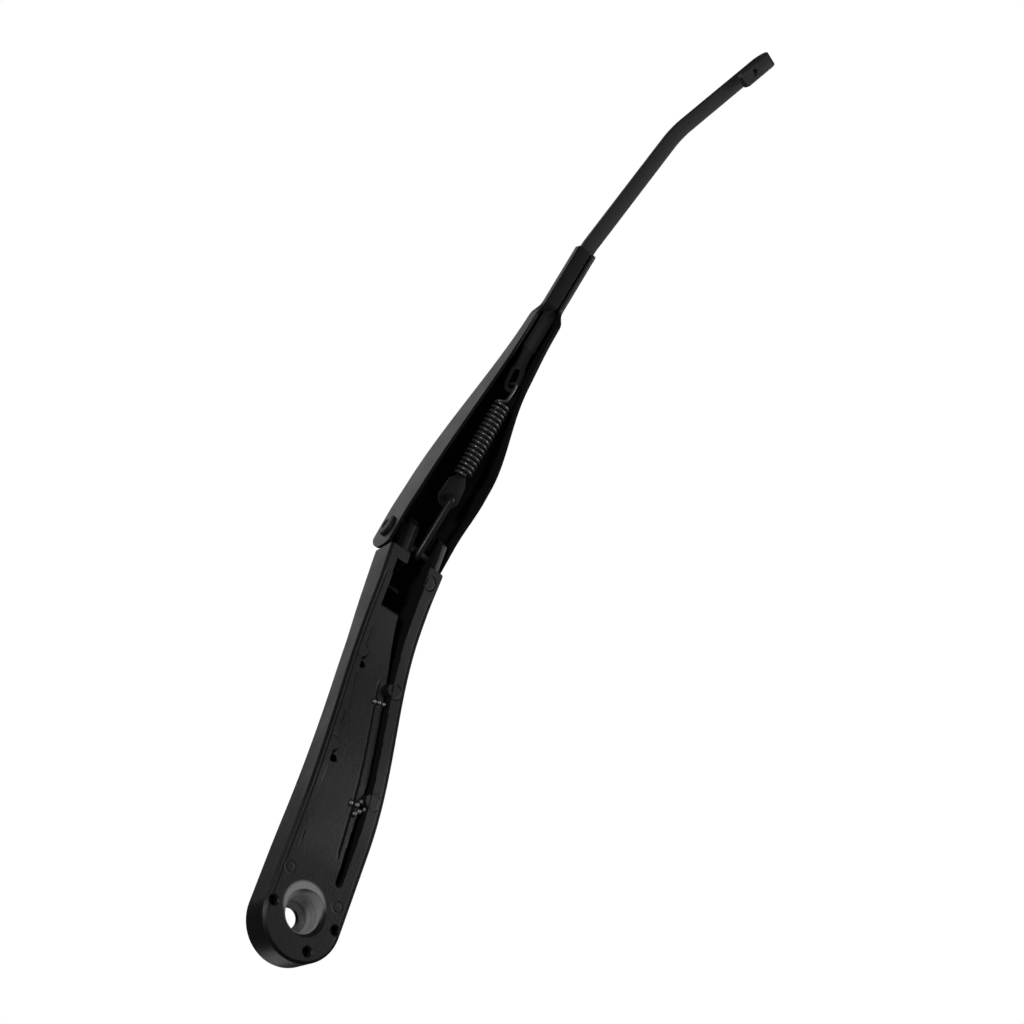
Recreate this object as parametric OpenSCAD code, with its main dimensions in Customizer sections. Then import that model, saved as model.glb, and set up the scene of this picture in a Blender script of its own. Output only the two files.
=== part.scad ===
// Windscreen wiper arm: a die-cast head that clamps on the wiper spindle, and a folding arm
// made of a pressed channel crimped round a flat steel bar that ends in a hook for the blade.
// Frame: origin on the spindle axis at the head's underside, +X towards the blade, +Z away
// from the glass. The arm is shown down on its stop, as when it lies off the vehicle.

/* [Spindle end] */
// Radius of the rounded end of the head
hub_r = 21.8; // [20:0.2:25]
// How far the round end's centre lies behind the spindle axis
hub_shift = 2; // [0:0.5:4]
// Thickness of the head at the spindle
hub_h = 20.5; // [18:0.5:26]
// Radius of the lead-in at the mouth of the spindle bore
mouth_r = 11.4; // [10:0.1:13]
// Depth of the lead-in
mouth_depth = 3; // [1:0.5:5]
// Radius of the spindle taper at its wide end
taper_r1 = 9.2; // [8.5:0.1:9.8]
// Radius of the spindle taper at its narrow end
taper_r2 = 7.6; // [6.8:0.1:8.2]
// Height of the narrow end of the taper above the underside
taper_top = 14; // [11:0.5:15]
// Radius of the through hole for the spindle thread
thread_hole_r = 5.2; // [4.5:0.1:6.5]
// Radius of the nut recess in the top
nut_recess_r = 13; // [11:0.5:15]
// Depth of the nut recess
nut_recess_depth = 2.5; // [1:0.5:3.5]
// Radius of the three blind locating holes
blind_hole_r = 2.1; // [1.5:0.1:2.6]
// Depth of the blind locating holes
blind_hole_depth = 5; // [3:0.5:8]
// Distance of the blind holes from the spindle axis
blind_hole_ring = 18; // [15.5:0.5:18.5]

/* [Head casting] */
// Half width of the casting at its waist
waist_w = 17.3; // [16.9:0.1:19]
// How far the underside rises from the spindle end to the hinge end
rise = 20; // [15:0.5:24]
// Where the rise starts, from the spindle axis
rise_start = 44; // [36:1:54]
// Length of the rise
rise_len = 135; // [120:1:145]
// Height of the casting at mid length
mid_h = 16; // [14:0.5:18]
// Height of the casting at the hinge end
end_h = 20.5; // [19:0.5:22]
// End of the casting's side walls, from the spindle axis
wall_end = 216; // [212:0.5:217]
// Radius of the casting's top edges
top_edge_r = 5; // [3:0.5:6]
// Width of the bevel round the underside rim
rim_bevel = 1.3; // [0.8:0.1:1.6]
// Depth of the fine groove inside the bevel
rim_groove = 0.4; // [0.2:0.1:0.7]
// Thickness of the left side wall
wall_left = 6; // [4.5:0.1:7]
// Thickness of the right side wall
wall_right = 8.6; // [7.5:0.1:9.5]
// Depth of the pocket floor under the rim
floor_depth = 3; // [2:0.5:4.5]
// Thickness of the top skin over the deep end of the pocket
skin = 3.5; // [2.5:0.5:4.5]
// Width of the deep channel beside the right wall
channel_w = 3.4; // [2.5:0.1:4.5]
// Radius of the ejector bosses on the side walls
boss_r = 4.6; // [3.5:0.1:5.5]

/* [Hinge] */
// Distance from the spindle axis to the hinge axis
hinge_x = 231.3; // [229:0.1:236]
// Height of the hinge axis above the head's underside
hinge_z = 32.6; // [31:0.1:34]
// Radius of the lugs' rounded ends
lug_r = 11; // [10:0.1:11.6]
// Thickness of each lug
lug_t = 6; // [5:0.5:7]
// Width of the gap between the lugs
lug_gap = 14; // [12:0.5:15]
// Sideways offset of the gap's middle
lug_mid = 1.5; // [0:0.5:2.5]
// Radius of the rivet's shank
rivet_r = 3.4; // [3:0.1:3.6]
// Radius of the rivet's heads
rivet_head_r = 6.4; // [5.5:0.1:7.5]
// Thickness of the rivet's heads
rivet_head_t = 2; // [1.4:0.1:2.6]
// Wall of the hinge bushes
bush_wall = 1.6; // [1.2:0.1:2]
// Radius of the bushes' collars
bush_collar_r = 7.6; // [6.5:0.1:8.5]
// Thickness of the bushes' collars
bush_collar_t = 1.4; // [1:0.1:2]
// Running clearance of the rivet in its bushes
run_gap = 0.05; // [0.02:0.01:0.09]
// Side clearance between the bush collars and the channel
side_gap = 0.2; // [0.1:0.05:0.4]

/* [Channel] */
// Pitch of the arm below the head's underside, in degrees
pitch = 21; // [18:0.5:23]
// Half width of the channel at the hinge
channel_half = 18.5; // [18:0.1:19.5]
// Sheet thickness of the channel
sheet = 1.8; // [1.4:0.1:2.2]
// Depth of the flanges below the hinge axis
flange_down = 13; // [12:0.5:14]
// Height of the web above the hinge axis, at the hinge
web_up = 13.5; // [12.5:0.5:15]
// Radius of the flanges' rounded ends
flange_end_r = 13.5; // [12.5:0.1:14]
// Distance from the hinge axis to the web's cut-back edge
web_start = -2; // [-2:0.5:10]
// Distance from the hinge axis to the start of the crimp
crimp_start = 163; // [158:1:168]
// Length of the crimp round the bar
crimp_len = 37; // [34:1:42]
// Gap between the two folded flaps of the crimp
flap_gap = 1.4; // [0.8:0.1:2]
// Sideways offset of that gap towards the right
flap_shift = 2.2; // [1.4:0.1:2.4]
// Clearance of the crimp round the bar
crimp_gap = 0.05; // [0.02:0.01:0.2]

/* [Bar] */
// Width of the bar
bar_w = 9; // [8:0.1:10]
// Thickness of the bar
bar_t = 4; // [3:0.1:4.4]
// Height of the bar's middle below the hinge axis
bar_drop = 3.5; // [3:0.1:4.5]
// Bevel of the bar's edges
bar_bevel = 0.6; // [0.5:0.1:0.9]
// Length of the straight stretch past the crimp, up to the bend
bar_reach = 91; // [80:1:105]
// Turn of the bar just past the crimp, in degrees
bar_turn_1 = 6.2; // [4:0.2:8]
// Turn of the bar at its bend, in degrees
bar_turn_2 = 11.6; // [8:0.2:15]
// Length from the bend to the hook
tip_reach = 75; // [70:1:95]
// Clear gap inside the hook
hook_gap = 5.5; // [5.4:0.1:8]
// Length of the hook's return leg
hook_leg = 22; // [16:1:26]
// Radius of the small hole in the return leg
hook_hole_r = 2.1; // [1.5:0.1:2.5]
// Length of the tongue inside the channel
tongue_len = 27; // [25:0.5:30]
// Turn of the tongue against the bar, in degrees
tongue_turn = 8; // [4:1:10]
// Width of the slot in the tongue
slot_w = 5; // [4.4:0.1:5.4]

/* [Spring and link] */
// Radius of the link's wire
link_wire_r = 2.1; // [1.8:0.1:2.2]
// Radius of the cross pin that the link hooks on
link_pin_r = 2.5; // [2.2:0.1:2.7]
// Clearance of the link's hook on its pin
link_gap = 0.08; // [0.03:0.01:0.1]
// Place of the cross pin along the arm, from the hinge axis
link_pin_s = -5; // [-5.5:0.1:-4.5]
// Height of the cross pin, from the hinge axis
link_pin_h = -6.5; // [-7:0.1:-6.2]
// Distance from the hinge axis to the link's upper end
link_top_s = 31; // [29:0.5:33]
// Mean radius of the spring's coils
coil_r = 4.4; // [4:0.1:4.6]
// Radius of the spring's wire
coil_wire_r = 0.95; // [0.7:0.05:1.05]
// Number of turns in the spring
coil_turns = 16; // [12:1:17]
// Distance from the hinge axis to the spring's lower end
coil_start = 45.5; // [44:0.5:47]
// Length of the coiled part of the spring
coil_len = 47; // [44:0.5:48]
// Sideways offset of the spring and the plate
coil_y = 1.8; // [1.2:0.1:2.4]
// Height of the spring's axis, from the hinge axis
coil_h = -8; // [-8.4:0.1:-7.4]
// Thickness of the spring's anchor plate
plate_t = 1.6; // [1.2:0.1:2]

/* [Hidden] */
$fn = 48;
black = [0.05, 0.05, 0.055];
steel = [0.45, 0.45, 0.46];
eps = 0.01;

// A smooth step from 0 to 1 while t goes from 0 to 1
function ease(t) = let (u = min(1, max(0, t))) u * u * (3 - 2 * u);
function sum_to(list, n, i = 0, total = [0, 0, 0]) = i > n ? total : sum_to(list, n, i + 1, total + list[i]);
function unit(v) = v / norm(v);

// Head casting: rim height, height and half width at a distance x from the spindle axis
function rim_z(x) = rise * ease((x - rise_start) / rise_len);
function head_h(x) = hub_h + (mid_h - hub_h) * ease((x - 20) / 110) + (end_h - mid_h) * ease((x - 150) / 50);
function head_w(x) = hub_r + (waist_w - hub_r) * ease((x - 40) / 145) + 0.9 * ease((x - 190) / 30);

// Outline of the head on one side: [x, y, normal x, normal y], round the hub and then along the wall
hub_steps = 12;
wall_steps = 34;
head_outline = concat(
    [for (i = [0:hub_steps]) let (a = 180 - 90 * i / hub_steps)
        [hub_r * cos(a) - hub_shift, hub_r * sin(a), cos(a), sin(a)]],
    [for (i = [1:wall_steps]) let (x = -hub_shift + (wall_end + hub_shift) * i / wall_steps)
        [x, head_w(x), 0, 1]]);
last = len(head_outline) - 1;

// Section of the head's wall: [inset from the outline, height above the rim, share of the full height]
edge_steps = 5;
head_levels = concat(
    [[rim_bevel, 0, 0], [0, rim_bevel, 0]],
    [for (i = [0:edge_steps]) let (a = 90 * i / edge_steps)
        [top_edge_r * (1 - cos(a)), -top_edge_r * (1 - sin(a)), 1]]);

function head_point(i, side, level) = let (o = head_outline[i])
    [o[0] - level[0] * o[2], side * (o[1] - level[0] * o[3]), rim_z(o[0]) + level[1] + level[2] * head_h(o[0])];
function head_ring(level) = concat(
    [for (i = [0:last]) head_point(i, 1, level)],
    [for (i = [last:-1:1]) head_point(i, -1, level)]);

// Closed solid through rings of equal length: sides between rings, and a cap of strips at each end
module stacked_rings(rings) {
    m = len(rings[0]);
    top = (len(rings) - 1) * m;
    sides = [for (r = [0:len(rings) - 2], i = [0:m - 1]) let (a = r * m + i, b = r * m + (i + 1) % m)
        each [[a, b, b + m], [a, b + m, a + m]]];
    strips = [for (i = [0:floor(m / 2) - 1]) let (j = (m - i) % m, k = m - i - 1)
        each (i == 0 ? [[0, k, 1]] : [[i, j, k], [i, k, i + 1]])];
    polyhedron(points = [for (r = rings) each r],
        faces = concat(sides, strips, [for (f = strips) [f[2] + top, f[1] + top, f[0] + top]]));
}

// Closed solid swept through sections that run anticlockwise seen from the far end; each end is
// closed by strips across the section, so a section may be a folded sheet
module swept(sections) {
    m = len(sections[0]);
    n = len(sections);
    far = (n - 1) * m;
    sides = [for (r = [0:n - 2], i = [0:m - 1]) let (a = r * m + i, b = r * m + (i + 1) % m)
        each [[a, b + m, b], [a, a + m, b + m]]];
    cap = [for (k = [0:m / 2 - 2]) each [[k, k + 1, m - 2 - k], [k, m - 2 - k, m - 1 - k]]];
    polyhedron(points = [for (s = sections) each s],
        faces = concat(sides, cap, [for (f = cap) [f[2] + far, f[1] + far, f[0] + far]]));
}

// Cutter for the underside pocket: from below the rim up to depth(x), between y_lo(x) and y_hi(x)
pocket_steps = 30;
function pocket_section(x, y_lo, y_hi, depth) = let (z = rim_z(x), d = 0.06 * depth)
    [[x, y_lo, z - 3], [x, y_hi, z - 3], [x, y_hi - d, z + depth], [x, y_lo + d, z + depth]];

floor_start = 24;
deep_start = 174;
deep_len = 20;
function floor_d(x) = floor_depth * ease((x - floor_start) / 34)
    + (head_h(x) - skin - floor_depth) * ease((x - deep_start) / deep_len);

// Inner face of the right wall
function right_in(x) = head_w(x) - wall_right;

module pocket() {
    swept([for (i = [0:pocket_steps]) let (x = floor_start + 4 + (pocket_end - floor_start - 4) * i / pocket_steps)
        pocket_section(x, wall_left - head_w(x), right_in(x), floor_d(x))]);
}

// Deep channel beside the right wall, which widens towards the hinge
channel_start = 19.5;
module side_channel() {
    swept([for (i = [0:pocket_steps]) let (x = channel_start + (pocket_end - 4 - channel_start) * i / pocket_steps,
            hi = right_in(x) - 0.1, w = channel_w * (1 - 0.55 * ease((x - 35) / 50)) + 6 * ease((x - 125) / 75))
        pocket_section(x, hi - w, hi, min(floor_d(x) + 5 * ease((x - channel_start + 2) / 7), head_h(x) - skin))]);
}
pocket_end = 209;

// Fine groove along each side of the rim
module rim_line(side) {
    swept([for (i = [0:pocket_steps]) let (x = 4 + (lug_root - 4) * i / pocket_steps,
            y = side * (head_w(x) - rim_bevel - 0.8), z = rim_z(x))
        [[x, y - 0.35, z - 1], [x, y + 0.35, z - 1], [x, y + 0.15, z + rim_groove], [x, y - 0.15, z + rim_groove]]]);
}

// Hinge end of the head
lug_in_left = lug_mid - lug_gap / 2;
lug_in_right = lug_mid + lug_gap / 2;
bush_r = rivet_r + run_gap + bush_wall;
collar_out = channel_half - sheet - side_gap;
lug_root = 198;
boss_lug_r = 8.4;

module across(y0, y1) {
    translate([0, y1, 0]) rotate([90, 0, 0]) linear_extrude(y1 - y0) children();
}

module lug_profile() {
    low = rim_z(wall_end) + 0.6;
    translate([hinge_x, hinge_z]) circle(lug_r);
    polygon([[lug_root, low + 15], [wall_end - 9, low + 12], [wall_end - 5, low], [pin_x + 9, low],
        [hinge_x + lug_r * cos(-45), hinge_z + lug_r * sin(-45)], [hinge_x, hinge_z],
        [hinge_x + lug_r * cos(hood_from), hinge_z + lug_r * sin(hood_from)],
        [wall_end - 1, hinge_z + lug_r * sin(hood_from)], [wall_end - 1, rim_z(wall_end) + end_h - 0.8],
        [lug_root, rim_z(wall_end) + end_h - 1.2]]);
}

// Hood between the lugs: it closes the top of the hinge and leaves the front open for the link
hood_from = 162;
hood_to = 64;
hood_t = 2.4;
module hood() {
    z0 = hinge_z + lug_r * sin(hood_from);
    across(lug_in_left - 1, lug_in_right + 1) {
        translate([hinge_x, hinge_z]) difference() {
            circle(lug_r);
            circle(lug_r - hood_t);
            rotate(hood_to) translate([0, -30]) square(30);
            polygon([[0, 0], 30 * [cos(hood_from), sin(hood_from)], [-30, -30], [30, -30], [30, 0]]);
        }
        polygon([[wall_end - 5, z0 - 1.5], [hinge_x - lug_r + 1.2, z0 - 1.5], [hinge_x + lug_r * cos(hood_from), z0],
            [wall_end - 1, z0], [wall_end - 1, rim_z(wall_end) + end_h - 0.8],
            [wall_end - 5, rim_z(wall_end) + end_h - 0.8]]);
    }
}

module lug(inner, outward) {
    outer = inner + outward * lug_t;
    across(min(inner, outer), max(inner, outer)) lug_profile();
    face = outward * (collar_out - bush_collar_t);
    across(min(inner + outward * lug_t / 2, face), max(inner + outward * lug_t / 2, face))
        translate([hinge_x, hinge_z]) circle(boss_lug_r);
}

// Half-round ejector bosses on the inner faces of the walls: [x, side, reach from the wall's inner face]
boss_places = [[86.4, -1, 1.2], [148, -1, 1.2], [68.2, 1, 1.4], [135.5, 1, 1.4], [207, 1, 1]];
module ejector_boss(x, side, reach) {
    wall = side < 0 ? wall_left : wall_right;
    y = side * (head_w(x) - wall + reach);
    h = min(head_h(x) - skin, 12);
    translate([x, y, rim_z(x) + 0.25]) cylinder(r = boss_r, h = h);
}

module spindle_bore() {
    translate([0, 0, -1]) cylinder(r = mouth_r, h = 1 + mouth_depth - 1.2);
    translate([0, 0, mouth_depth - 1.2]) cylinder(r1 = mouth_r, r2 = taper_r1, h = 1.2 + eps);
    translate([0, 0, mouth_depth]) cylinder(r1 = taper_r1, r2 = taper_r2, h = taper_top - mouth_depth);
    translate([0, 0, taper_top - eps]) cylinder(r1 = taper_r2, r2 = thread_hole_r, h = 1.6);
    cylinder(r = thread_hole_r, h = hub_h + 1);
    translate([0, 0, hub_h - nut_recess_depth]) cylinder(r = nut_recess_r, h = nut_recess_depth + 1);
}

// Cross pin that the link hooks on, in the head's own frame
pin_x = hinge_x + link_pin_s * cos(pitch) + link_pin_h * sin(pitch);
pin_z = hinge_z - link_pin_s * sin(pitch) + link_pin_h * cos(pitch);
pin_reach = 4.6;

module arm_head() {
    color(black) difference() {
        union() {
            difference() {
                stacked_rings([for (l = head_levels) head_ring(l)]);
                pocket();
                side_channel();
                rim_line(-1);
                rim_line(1);
            }
            for (b = boss_places) ejector_boss(b[0], b[1], b[2]);
            lug(lug_in_left, -1);
            lug(lug_in_right, 1);
            hood();
            across(-head_w(190) + 3, -4) polygon([[192, 25], [194, 25], [196, 38], [190, 38]]);
        }
        spindle_bore();
        for (a = [-96, 91, 154]) rotate([0, 0, a]) translate([blind_hole_ring, 0, -1])
            cylinder(r = blind_hole_r, h = 1 + blind_hole_depth);
        across(-channel_half, channel_half) translate([hinge_x, hinge_z]) circle(bush_r);
        across(lug_mid - lug_gap / 2 - pin_reach, lug_mid + lug_gap / 2 + pin_reach)
            translate([pin_x, pin_z]) circle(link_pin_r);
        translate([lug_root - 2, lug_in_left, rim_z(wall_end) - 4])
            cube([wall_end - lug_root - 2, lug_gap, end_h + 4 - skin]);
        translate([lug_root - 2, lug_in_left, rim_z(wall_end) - 4])
            cube([wall_end - lug_root + 3, lug_gap, hinge_z + lug_r * sin(hood_from) - 1.5 - rim_z(wall_end) + 4]);
    }
}

module link_pin() {
    color(steel) across(lug_mid - lug_gap / 2 - pin_reach, lug_mid + lug_gap / 2 + pin_reach)
        translate([pin_x, pin_z]) circle(link_pin_r);
}

// Plastic bush in one lug, with its collar on the outside
module hinge_bush(inner, outward) {
    lo = outward > 0 ? inner : -collar_out;
    hi = outward > 0 ? collar_out : inner;
    c0 = outward > 0 ? collar_out - bush_collar_t : -collar_out;
    translate([hinge_x, 0, hinge_z]) difference() {
        union() {
            across(lo, hi) circle(bush_r);
            across(c0, c0 + bush_collar_t) circle(bush_collar_r);
        }
        across(lo - 1, hi + 1) circle(rivet_r + run_gap);
    }
}
module hinge_bush_left() { color([0.12, 0.12, 0.12]) hinge_bush(lug_in_left, -1); }
module hinge_bush_right() { color([0.12, 0.12, 0.12]) hinge_bush(lug_in_right, 1); }

// The arm's own frame: from the hinge axis, +X along the arm, +Z away from the glass
module on_arm() { translate([hinge_x, 0, hinge_z]) rotate([0, pitch, 0]) children(); }

// Stub rivet: a wide head outside, a shank through flange and bush, and a peened head inside
peened_r = 5.2;
peened_t = 1.3;
module hinge_rivet(inner, outward) {
    f = channel_half;
    w = abs(inner) - run_gap;
    color(black) on_arm() rotate([-90 * outward, 0, 0]) rotate_extrude()
        polygon([[0, w - peened_t], [peened_r - 0.9, w - peened_t], [peened_r, w - peened_t + 0.5], [peened_r, w],
            [rivet_r, w], [rivet_r, f], [rivet_head_r, f], [rivet_head_r, f + 0.7],
            [rivet_head_r - 0.8, f + rivet_head_t - 0.6], [rivet_head_r - 2.2, f + rivet_head_t],
            [0, f + rivet_head_t]]);
}
module hinge_rivet_left() { hinge_rivet(lug_in_left, -1); }
module hinge_rivet_right() { hinge_rivet(lug_in_right, 1); }

// Bar's middle line in plan, in the arm's frame
bar_y0 = 1.06;
bar_lean = 1.5;
function bar_y(s) = bar_y0 + (s - crimp_start) * tan(bar_lean);
crimp_end = crimp_start + crimp_len;

// Channel: half widths, web height and flange depth at a distance s from the hinge axis
function half_left(s) = channel_half - 0.4 * ease((s - 8) / 20)
    - (channel_half - 8.4) * ease((s - 8) / 150) * 0.93 - 1.2 * ease((s - 151) / 12);
function half_right(s) = channel_half + 2 * ease((s - 8) / 32) - (channel_half - 6.6) * ease((s - 48) / 62) * 0.86
    - 1.6 * ease((s - 100) / 40) - 2 * ease((s - 151) / 12);
function web_h(s) = web_up - (web_up + bar_drop - bar_t / 2 - crimp_gap - sheet) * ease((s - 35) / (crimp_start - 28));

// Middle line of the sheet's section, from the left free edge round to the right free edge;
// k goes from 0, an open channel, to 1, folded round the bar
bend_steps = 3;
function bend(cy, cz, r, a0, a1) = [for (i = [0:bend_steps]) let (a = a0 + (a1 - a0) * i / bend_steps)
    [cy + r * cos(a), cz + r * sin(a)]];
function sheet_line(s) = let (
        k = ease((s - crimp_start + 14) / 12),
        t = sheet / 2,
        gap = crimp_gap + t,
        yl = (1 - k) * (-half_left(s) + t) + k * (bar_y(s) - bar_w / 2 - gap),
        yr = (1 - k) * (half_right(s) - t) + k * (bar_y(s) + bar_w / 2 + gap),
        top = (1 - k) * (web_h(s) - t) + k * (-bar_drop + bar_t / 2 + gap),
        low = (1 - k) * (-flange_down + 0.1) + k * (-bar_drop - bar_t / 2 - gap),
        r_top = (1 - k) * 3 + k * 1.25,
        r_low = (1 - k) * 3 + k * 1.25,
        turn = 2 + 88 * k,
        flap_l = (1 - k) * 0.4 + k * (bar_w / 2 + gap - flap_gap / 2 - 1.25 + flap_shift),
        flap_r = (1 - k) * 0.4 + k * (bar_w / 2 + gap - flap_gap / 2 - 1.25 - flap_shift))
    concat(
        [[yl + r_low * (1 - cos(turn)) + flap_l * sin(turn), low + r_low * (1 - sin(turn)) - flap_l * cos(turn)]],
        [for (p = bend(yl + r_low, low + r_low, r_low, 180 + turn, 180)) p],
        [for (p = bend(yl + r_top, top - r_top, r_top, 180, 90)) p],
        [for (p = bend(yr - r_top, top - r_top, r_top, 90, 0)) p],
        [for (p = bend(yr - r_low, low + r_low, r_low, 0, -turn)) p],
        [[yr - r_low * (1 - cos(turn)) - flap_r * sin(turn), low + r_low * (1 - sin(turn)) - flap_r * cos(turn)]]);

// Section of the sheet: the middle line moved out by half the thickness, and back along the inside
function line_normal(line, i) = let (a = line[max(0, i - 1)], b = line[min(len(line) - 1, i + 1)],
    d = unit(b - a)) [-d[1], d[0]];
function sheet_section(s) = let (line = sheet_line(s), n = len(line) - 1)
    concat([for (i = [n:-1:0]) let (q = line[i] + line_normal(line, i) * sheet / 2) [s, q[0], q[1]]],
        [for (i = [0:n]) let (q = line[i] - line_normal(line, i) * sheet / 2) [s, q[0], q[1]]]);

channel_stations = concat([for (s = [-14:7:crimp_start - 16]) s],
    [for (i = [0:7]) crimp_start - 14 + 2 * i], [for (i = [1:4]) crimp_start + crimp_len * i / 4]);

module channel() {
    color(black) on_arm() difference() {
        swept([for (s = channel_stations) sheet_section(s)]);
        across(-30, 30) difference() {
            translate([-20, -20]) square([20, 45]);
            circle(flange_end_r);
        }
        translate([-20, -channel_half + sheet + eps, 2])
            cube([20 + web_start, 2 * (channel_half - sheet - eps), 20]);
        across(-30, 30) translate([-20, flange_end_r - 1]) square([20 + web_start, 20]);
        across(-30, 30) circle(rivet_r);
    }
}

// Flat bar: steps of [length, turn in plan, turn towards the glass], followed from the crimp to the hook
hook_r = (hook_gap + bar_t) / 2;
hook_steps = 10;
bar_start = crimp_start - 33;
bar_path = concat(
    [[0, bar_lean, 0], [crimp_end + 0.5 - bar_start, 0, 0]],
    [for (i = [1:4]) [1.5, bar_turn_1 / 4, 0]],
    [[bar_reach - 8.5, 0, 0]],
    [for (i = [1:6]) [3, bar_turn_2 / 6, 0]],
    [[tip_reach - 9, 0, 0]],
    [for (i = [1:hook_steps]) [2 * hook_r * sin(90 / hook_steps), 0, 180 / hook_steps]],
    [[hook_leg, 0, 0]]);
function turn_to(i, k) = sum_to([for (p = bar_path) [p[1], p[2], 0]], i)[k];
function bar_dir(yaw, dip) = [cos(dip) * cos(yaw), cos(dip) * sin(yaw), -sin(dip)];
bar_yaws = [for (i = [0:len(bar_path) - 1]) turn_to(i, 0)];
bar_dips = [for (i = [0:len(bar_path) - 1]) turn_to(i, 1)];
function step_dir(i) = let (y = (bar_yaws[i] + bar_yaws[max(0, i - 1)]) / 2,
    d = (bar_dips[i] + bar_dips[max(0, i - 1)]) / 2) bar_dir(y, d);
bar_steps = [for (i = [0:len(bar_path) - 1]) bar_path[i][0] * step_dir(i)];
bar_points = [for (i = [0:len(bar_path) - 1]) [bar_start, bar_y(bar_start), -bar_drop] + sum_to(bar_steps, i)];
function bar_section(i) = let (
        yaw = bar_yaws[i], dip = bar_dips[i],
        side = [-sin(yaw), cos(yaw), 0],
        up = cross(bar_dir(yaw, dip), side),
        w = bar_w / 2, t = bar_t / 2, b = bar_bevel)
    [for (c = [[w, t - b], [w - b, t], [b - w, t], [-w, t - b], [-w, b - t], [b - w, -t], [w - b, -t], [w, b - t]])
        bar_points[i] + c[0] * side + c[1] * up];

// Tongue: the bar's inner end, narrowed at a bend and widened again round the spring's slot
tongue_tilt = 5;
module tongue() {
    w = bar_w / 2;
    translate([bar_start + 1, bar_y(bar_start), -bar_drop]) rotate([0, tongue_tilt, bar_lean - tongue_turn])
        translate([0, 0, -bar_t / 2 + 0.3]) linear_extrude(bar_t - 0.9) difference() {
            union() {
                polygon([[2, w - 0.6], [-5, 3.4], [-11, 3.6], [-15, w + 0.4], [4 - tongue_len, w + 0.4],
                    [4 - tongue_len, -w - 0.4], [-15, -w - 0.4], [-11, -3.6], [-5, -3.4], [2, 0.6 - w]]);
                translate([4 - tongue_len, 0]) circle(w + 0.4);
            }
            translate([-16, 0]) circle(slot_w / 2);
            translate([4 - tongue_len, 0]) circle(slot_w / 2);
            translate([4 - tongue_len, -slot_w / 2]) square([tongue_len - 20, slot_w]);
        }
}

module arm_bar() {
    color(black) on_arm() difference() {
        union() {
            swept([for (i = [0:len(bar_path) - 1]) bar_section(i)]);
            tongue();
        }
        translate(hook_hole) rotate([0, 0, bar_yaws[len(bar_path) - 1]]) translate([0, 0, -bar_t])
            cylinder(r = hook_hole_r, h = 2 * bar_t);
    }
}
hook_hole = bar_points[len(bar_path) - 1] - 10 * bar_dir(bar_yaws[len(bar_path) - 1], 180);

// Round wire along a line of points in the plane y = const, as rings square to the line
function wire_section(points, i, r, sides) = let (
        d = unit(points[min(i + 1, len(points) - 1)] - points[max(i - 1, 0)]),
        u = unit(cross(abs(d[1]) > 0.9 ? [1, 0, 0] : [0, 1, 0], d)), v = cross(d, u))
    [for (k = [0:sides - 1]) let (a = 360 * k / sides) points[i] + r * cos(a) * u + r * sin(a) * v];
module wire(points, r, sides) { swept([for (i = [0:len(points) - 1]) wire_section(points, i, r, sides)]); }

// Link: a C of thick wire, hooked round the cross pin and up through the plate's hole
link_y = 1;
link_hook_r = link_pin_r + link_gap + link_wire_r;
link_top_h = -14.2;
link_top_bend = 3.4;
link_line = concat(
    [for (a = [150:9.5:264]) [link_pin_s + link_hook_r * cos(a), link_y, link_pin_h + link_hook_r * sin(a)]],
    [for (a = [-90:15:0]) [link_top_s - link_top_bend + link_top_bend * cos(a), link_y,
        link_top_h + link_top_bend + link_top_bend * sin(a)]],
    [[link_top_s, link_y, coil_h], [link_top_s, link_y, coil_h + 4.6]]);
module wire_link() { color([0.1, 0.1, 0.1]) on_arm() wire(link_line, link_wire_r, 14); }

// Anchor plate: a stamped tongue with a hole for the link, screwed into the spring's first turns
plate_hole_gap = 0.15;
module spring_anchor_plate() {
    color([0.12, 0.12, 0.12]) on_arm() translate([0, coil_y, coil_h - plate_t / 2]) linear_extrude(plate_t)
        difference() {
            union() {
                translate([link_top_s, link_y - coil_y]) circle(6.6);
                polygon([[link_top_s, -7.2], [coil_start - 5, -6.4], [coil_start - 1.2, -2.9],
                    [coil_start + 7, -2.6], [coil_start + 7, 2.6], [coil_start - 1.2, 2.9],
                    [coil_start - 5, 5], [link_top_s, 5.8]]);
            }
            translate([link_top_s, link_y - coil_y]) circle(link_wire_r + plate_hole_gap);
        }
}

// Tension spring: a close helix, then a crossing over its end and a hook through the bar's slot
coil_sides = 16;
hook_s = bar_start + 1 - tongue_len + 4;
hook_y = bar_y(bar_start) + (tongue_len - 4) * sin(tongue_turn - bar_lean);
coil_last = coil_turns * coil_sides + coil_sides / 4;
coil_points = [for (i = [0:coil_last]) let (a = -360 * i / coil_sides - 90,
        s = coil_start + coil_len * i / coil_last)
    [s, coil_y + coil_r * cos(a), coil_h + coil_r * sin(a)]];
coil_end = coil_start + coil_len;
hook_line = [[coil_end + 1, coil_y - coil_r + 0.8, coil_h - 1.6], [coil_end + 1.7, coil_y - 1.8, coil_h - 2.7],
    [coil_end + 2.9, coil_y, coil_h - 3.1], [hook_s - 9, hook_y - 0.5, coil_h - 3],
    [hook_s - 4.5, hook_y, coil_h - 2.4], [hook_s - 1, hook_y, coil_h - 1.4],
    [hook_s + 0.4, hook_y, coil_h + 0.6], [hook_s + 0.4, hook_y, coil_h + 7]];
module tension_spring() {
    color([0.08, 0.08, 0.08]) on_arm() wire(concat(coil_points, hook_line), coil_wire_r, 6);
}

arm_head();
link_pin();
hinge_bush_left();
hinge_bush_right();
channel();
hinge_rivet_left();
hinge_rivet_right();
arm_bar();
wire_link();
spring_anchor_plate();
tension_spring();
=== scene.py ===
"""Windscreen wiper arm: surfaces, finishes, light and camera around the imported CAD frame.

Lengths in the builders are in millimetres of the part frame and become metres in one place.
"""

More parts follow.
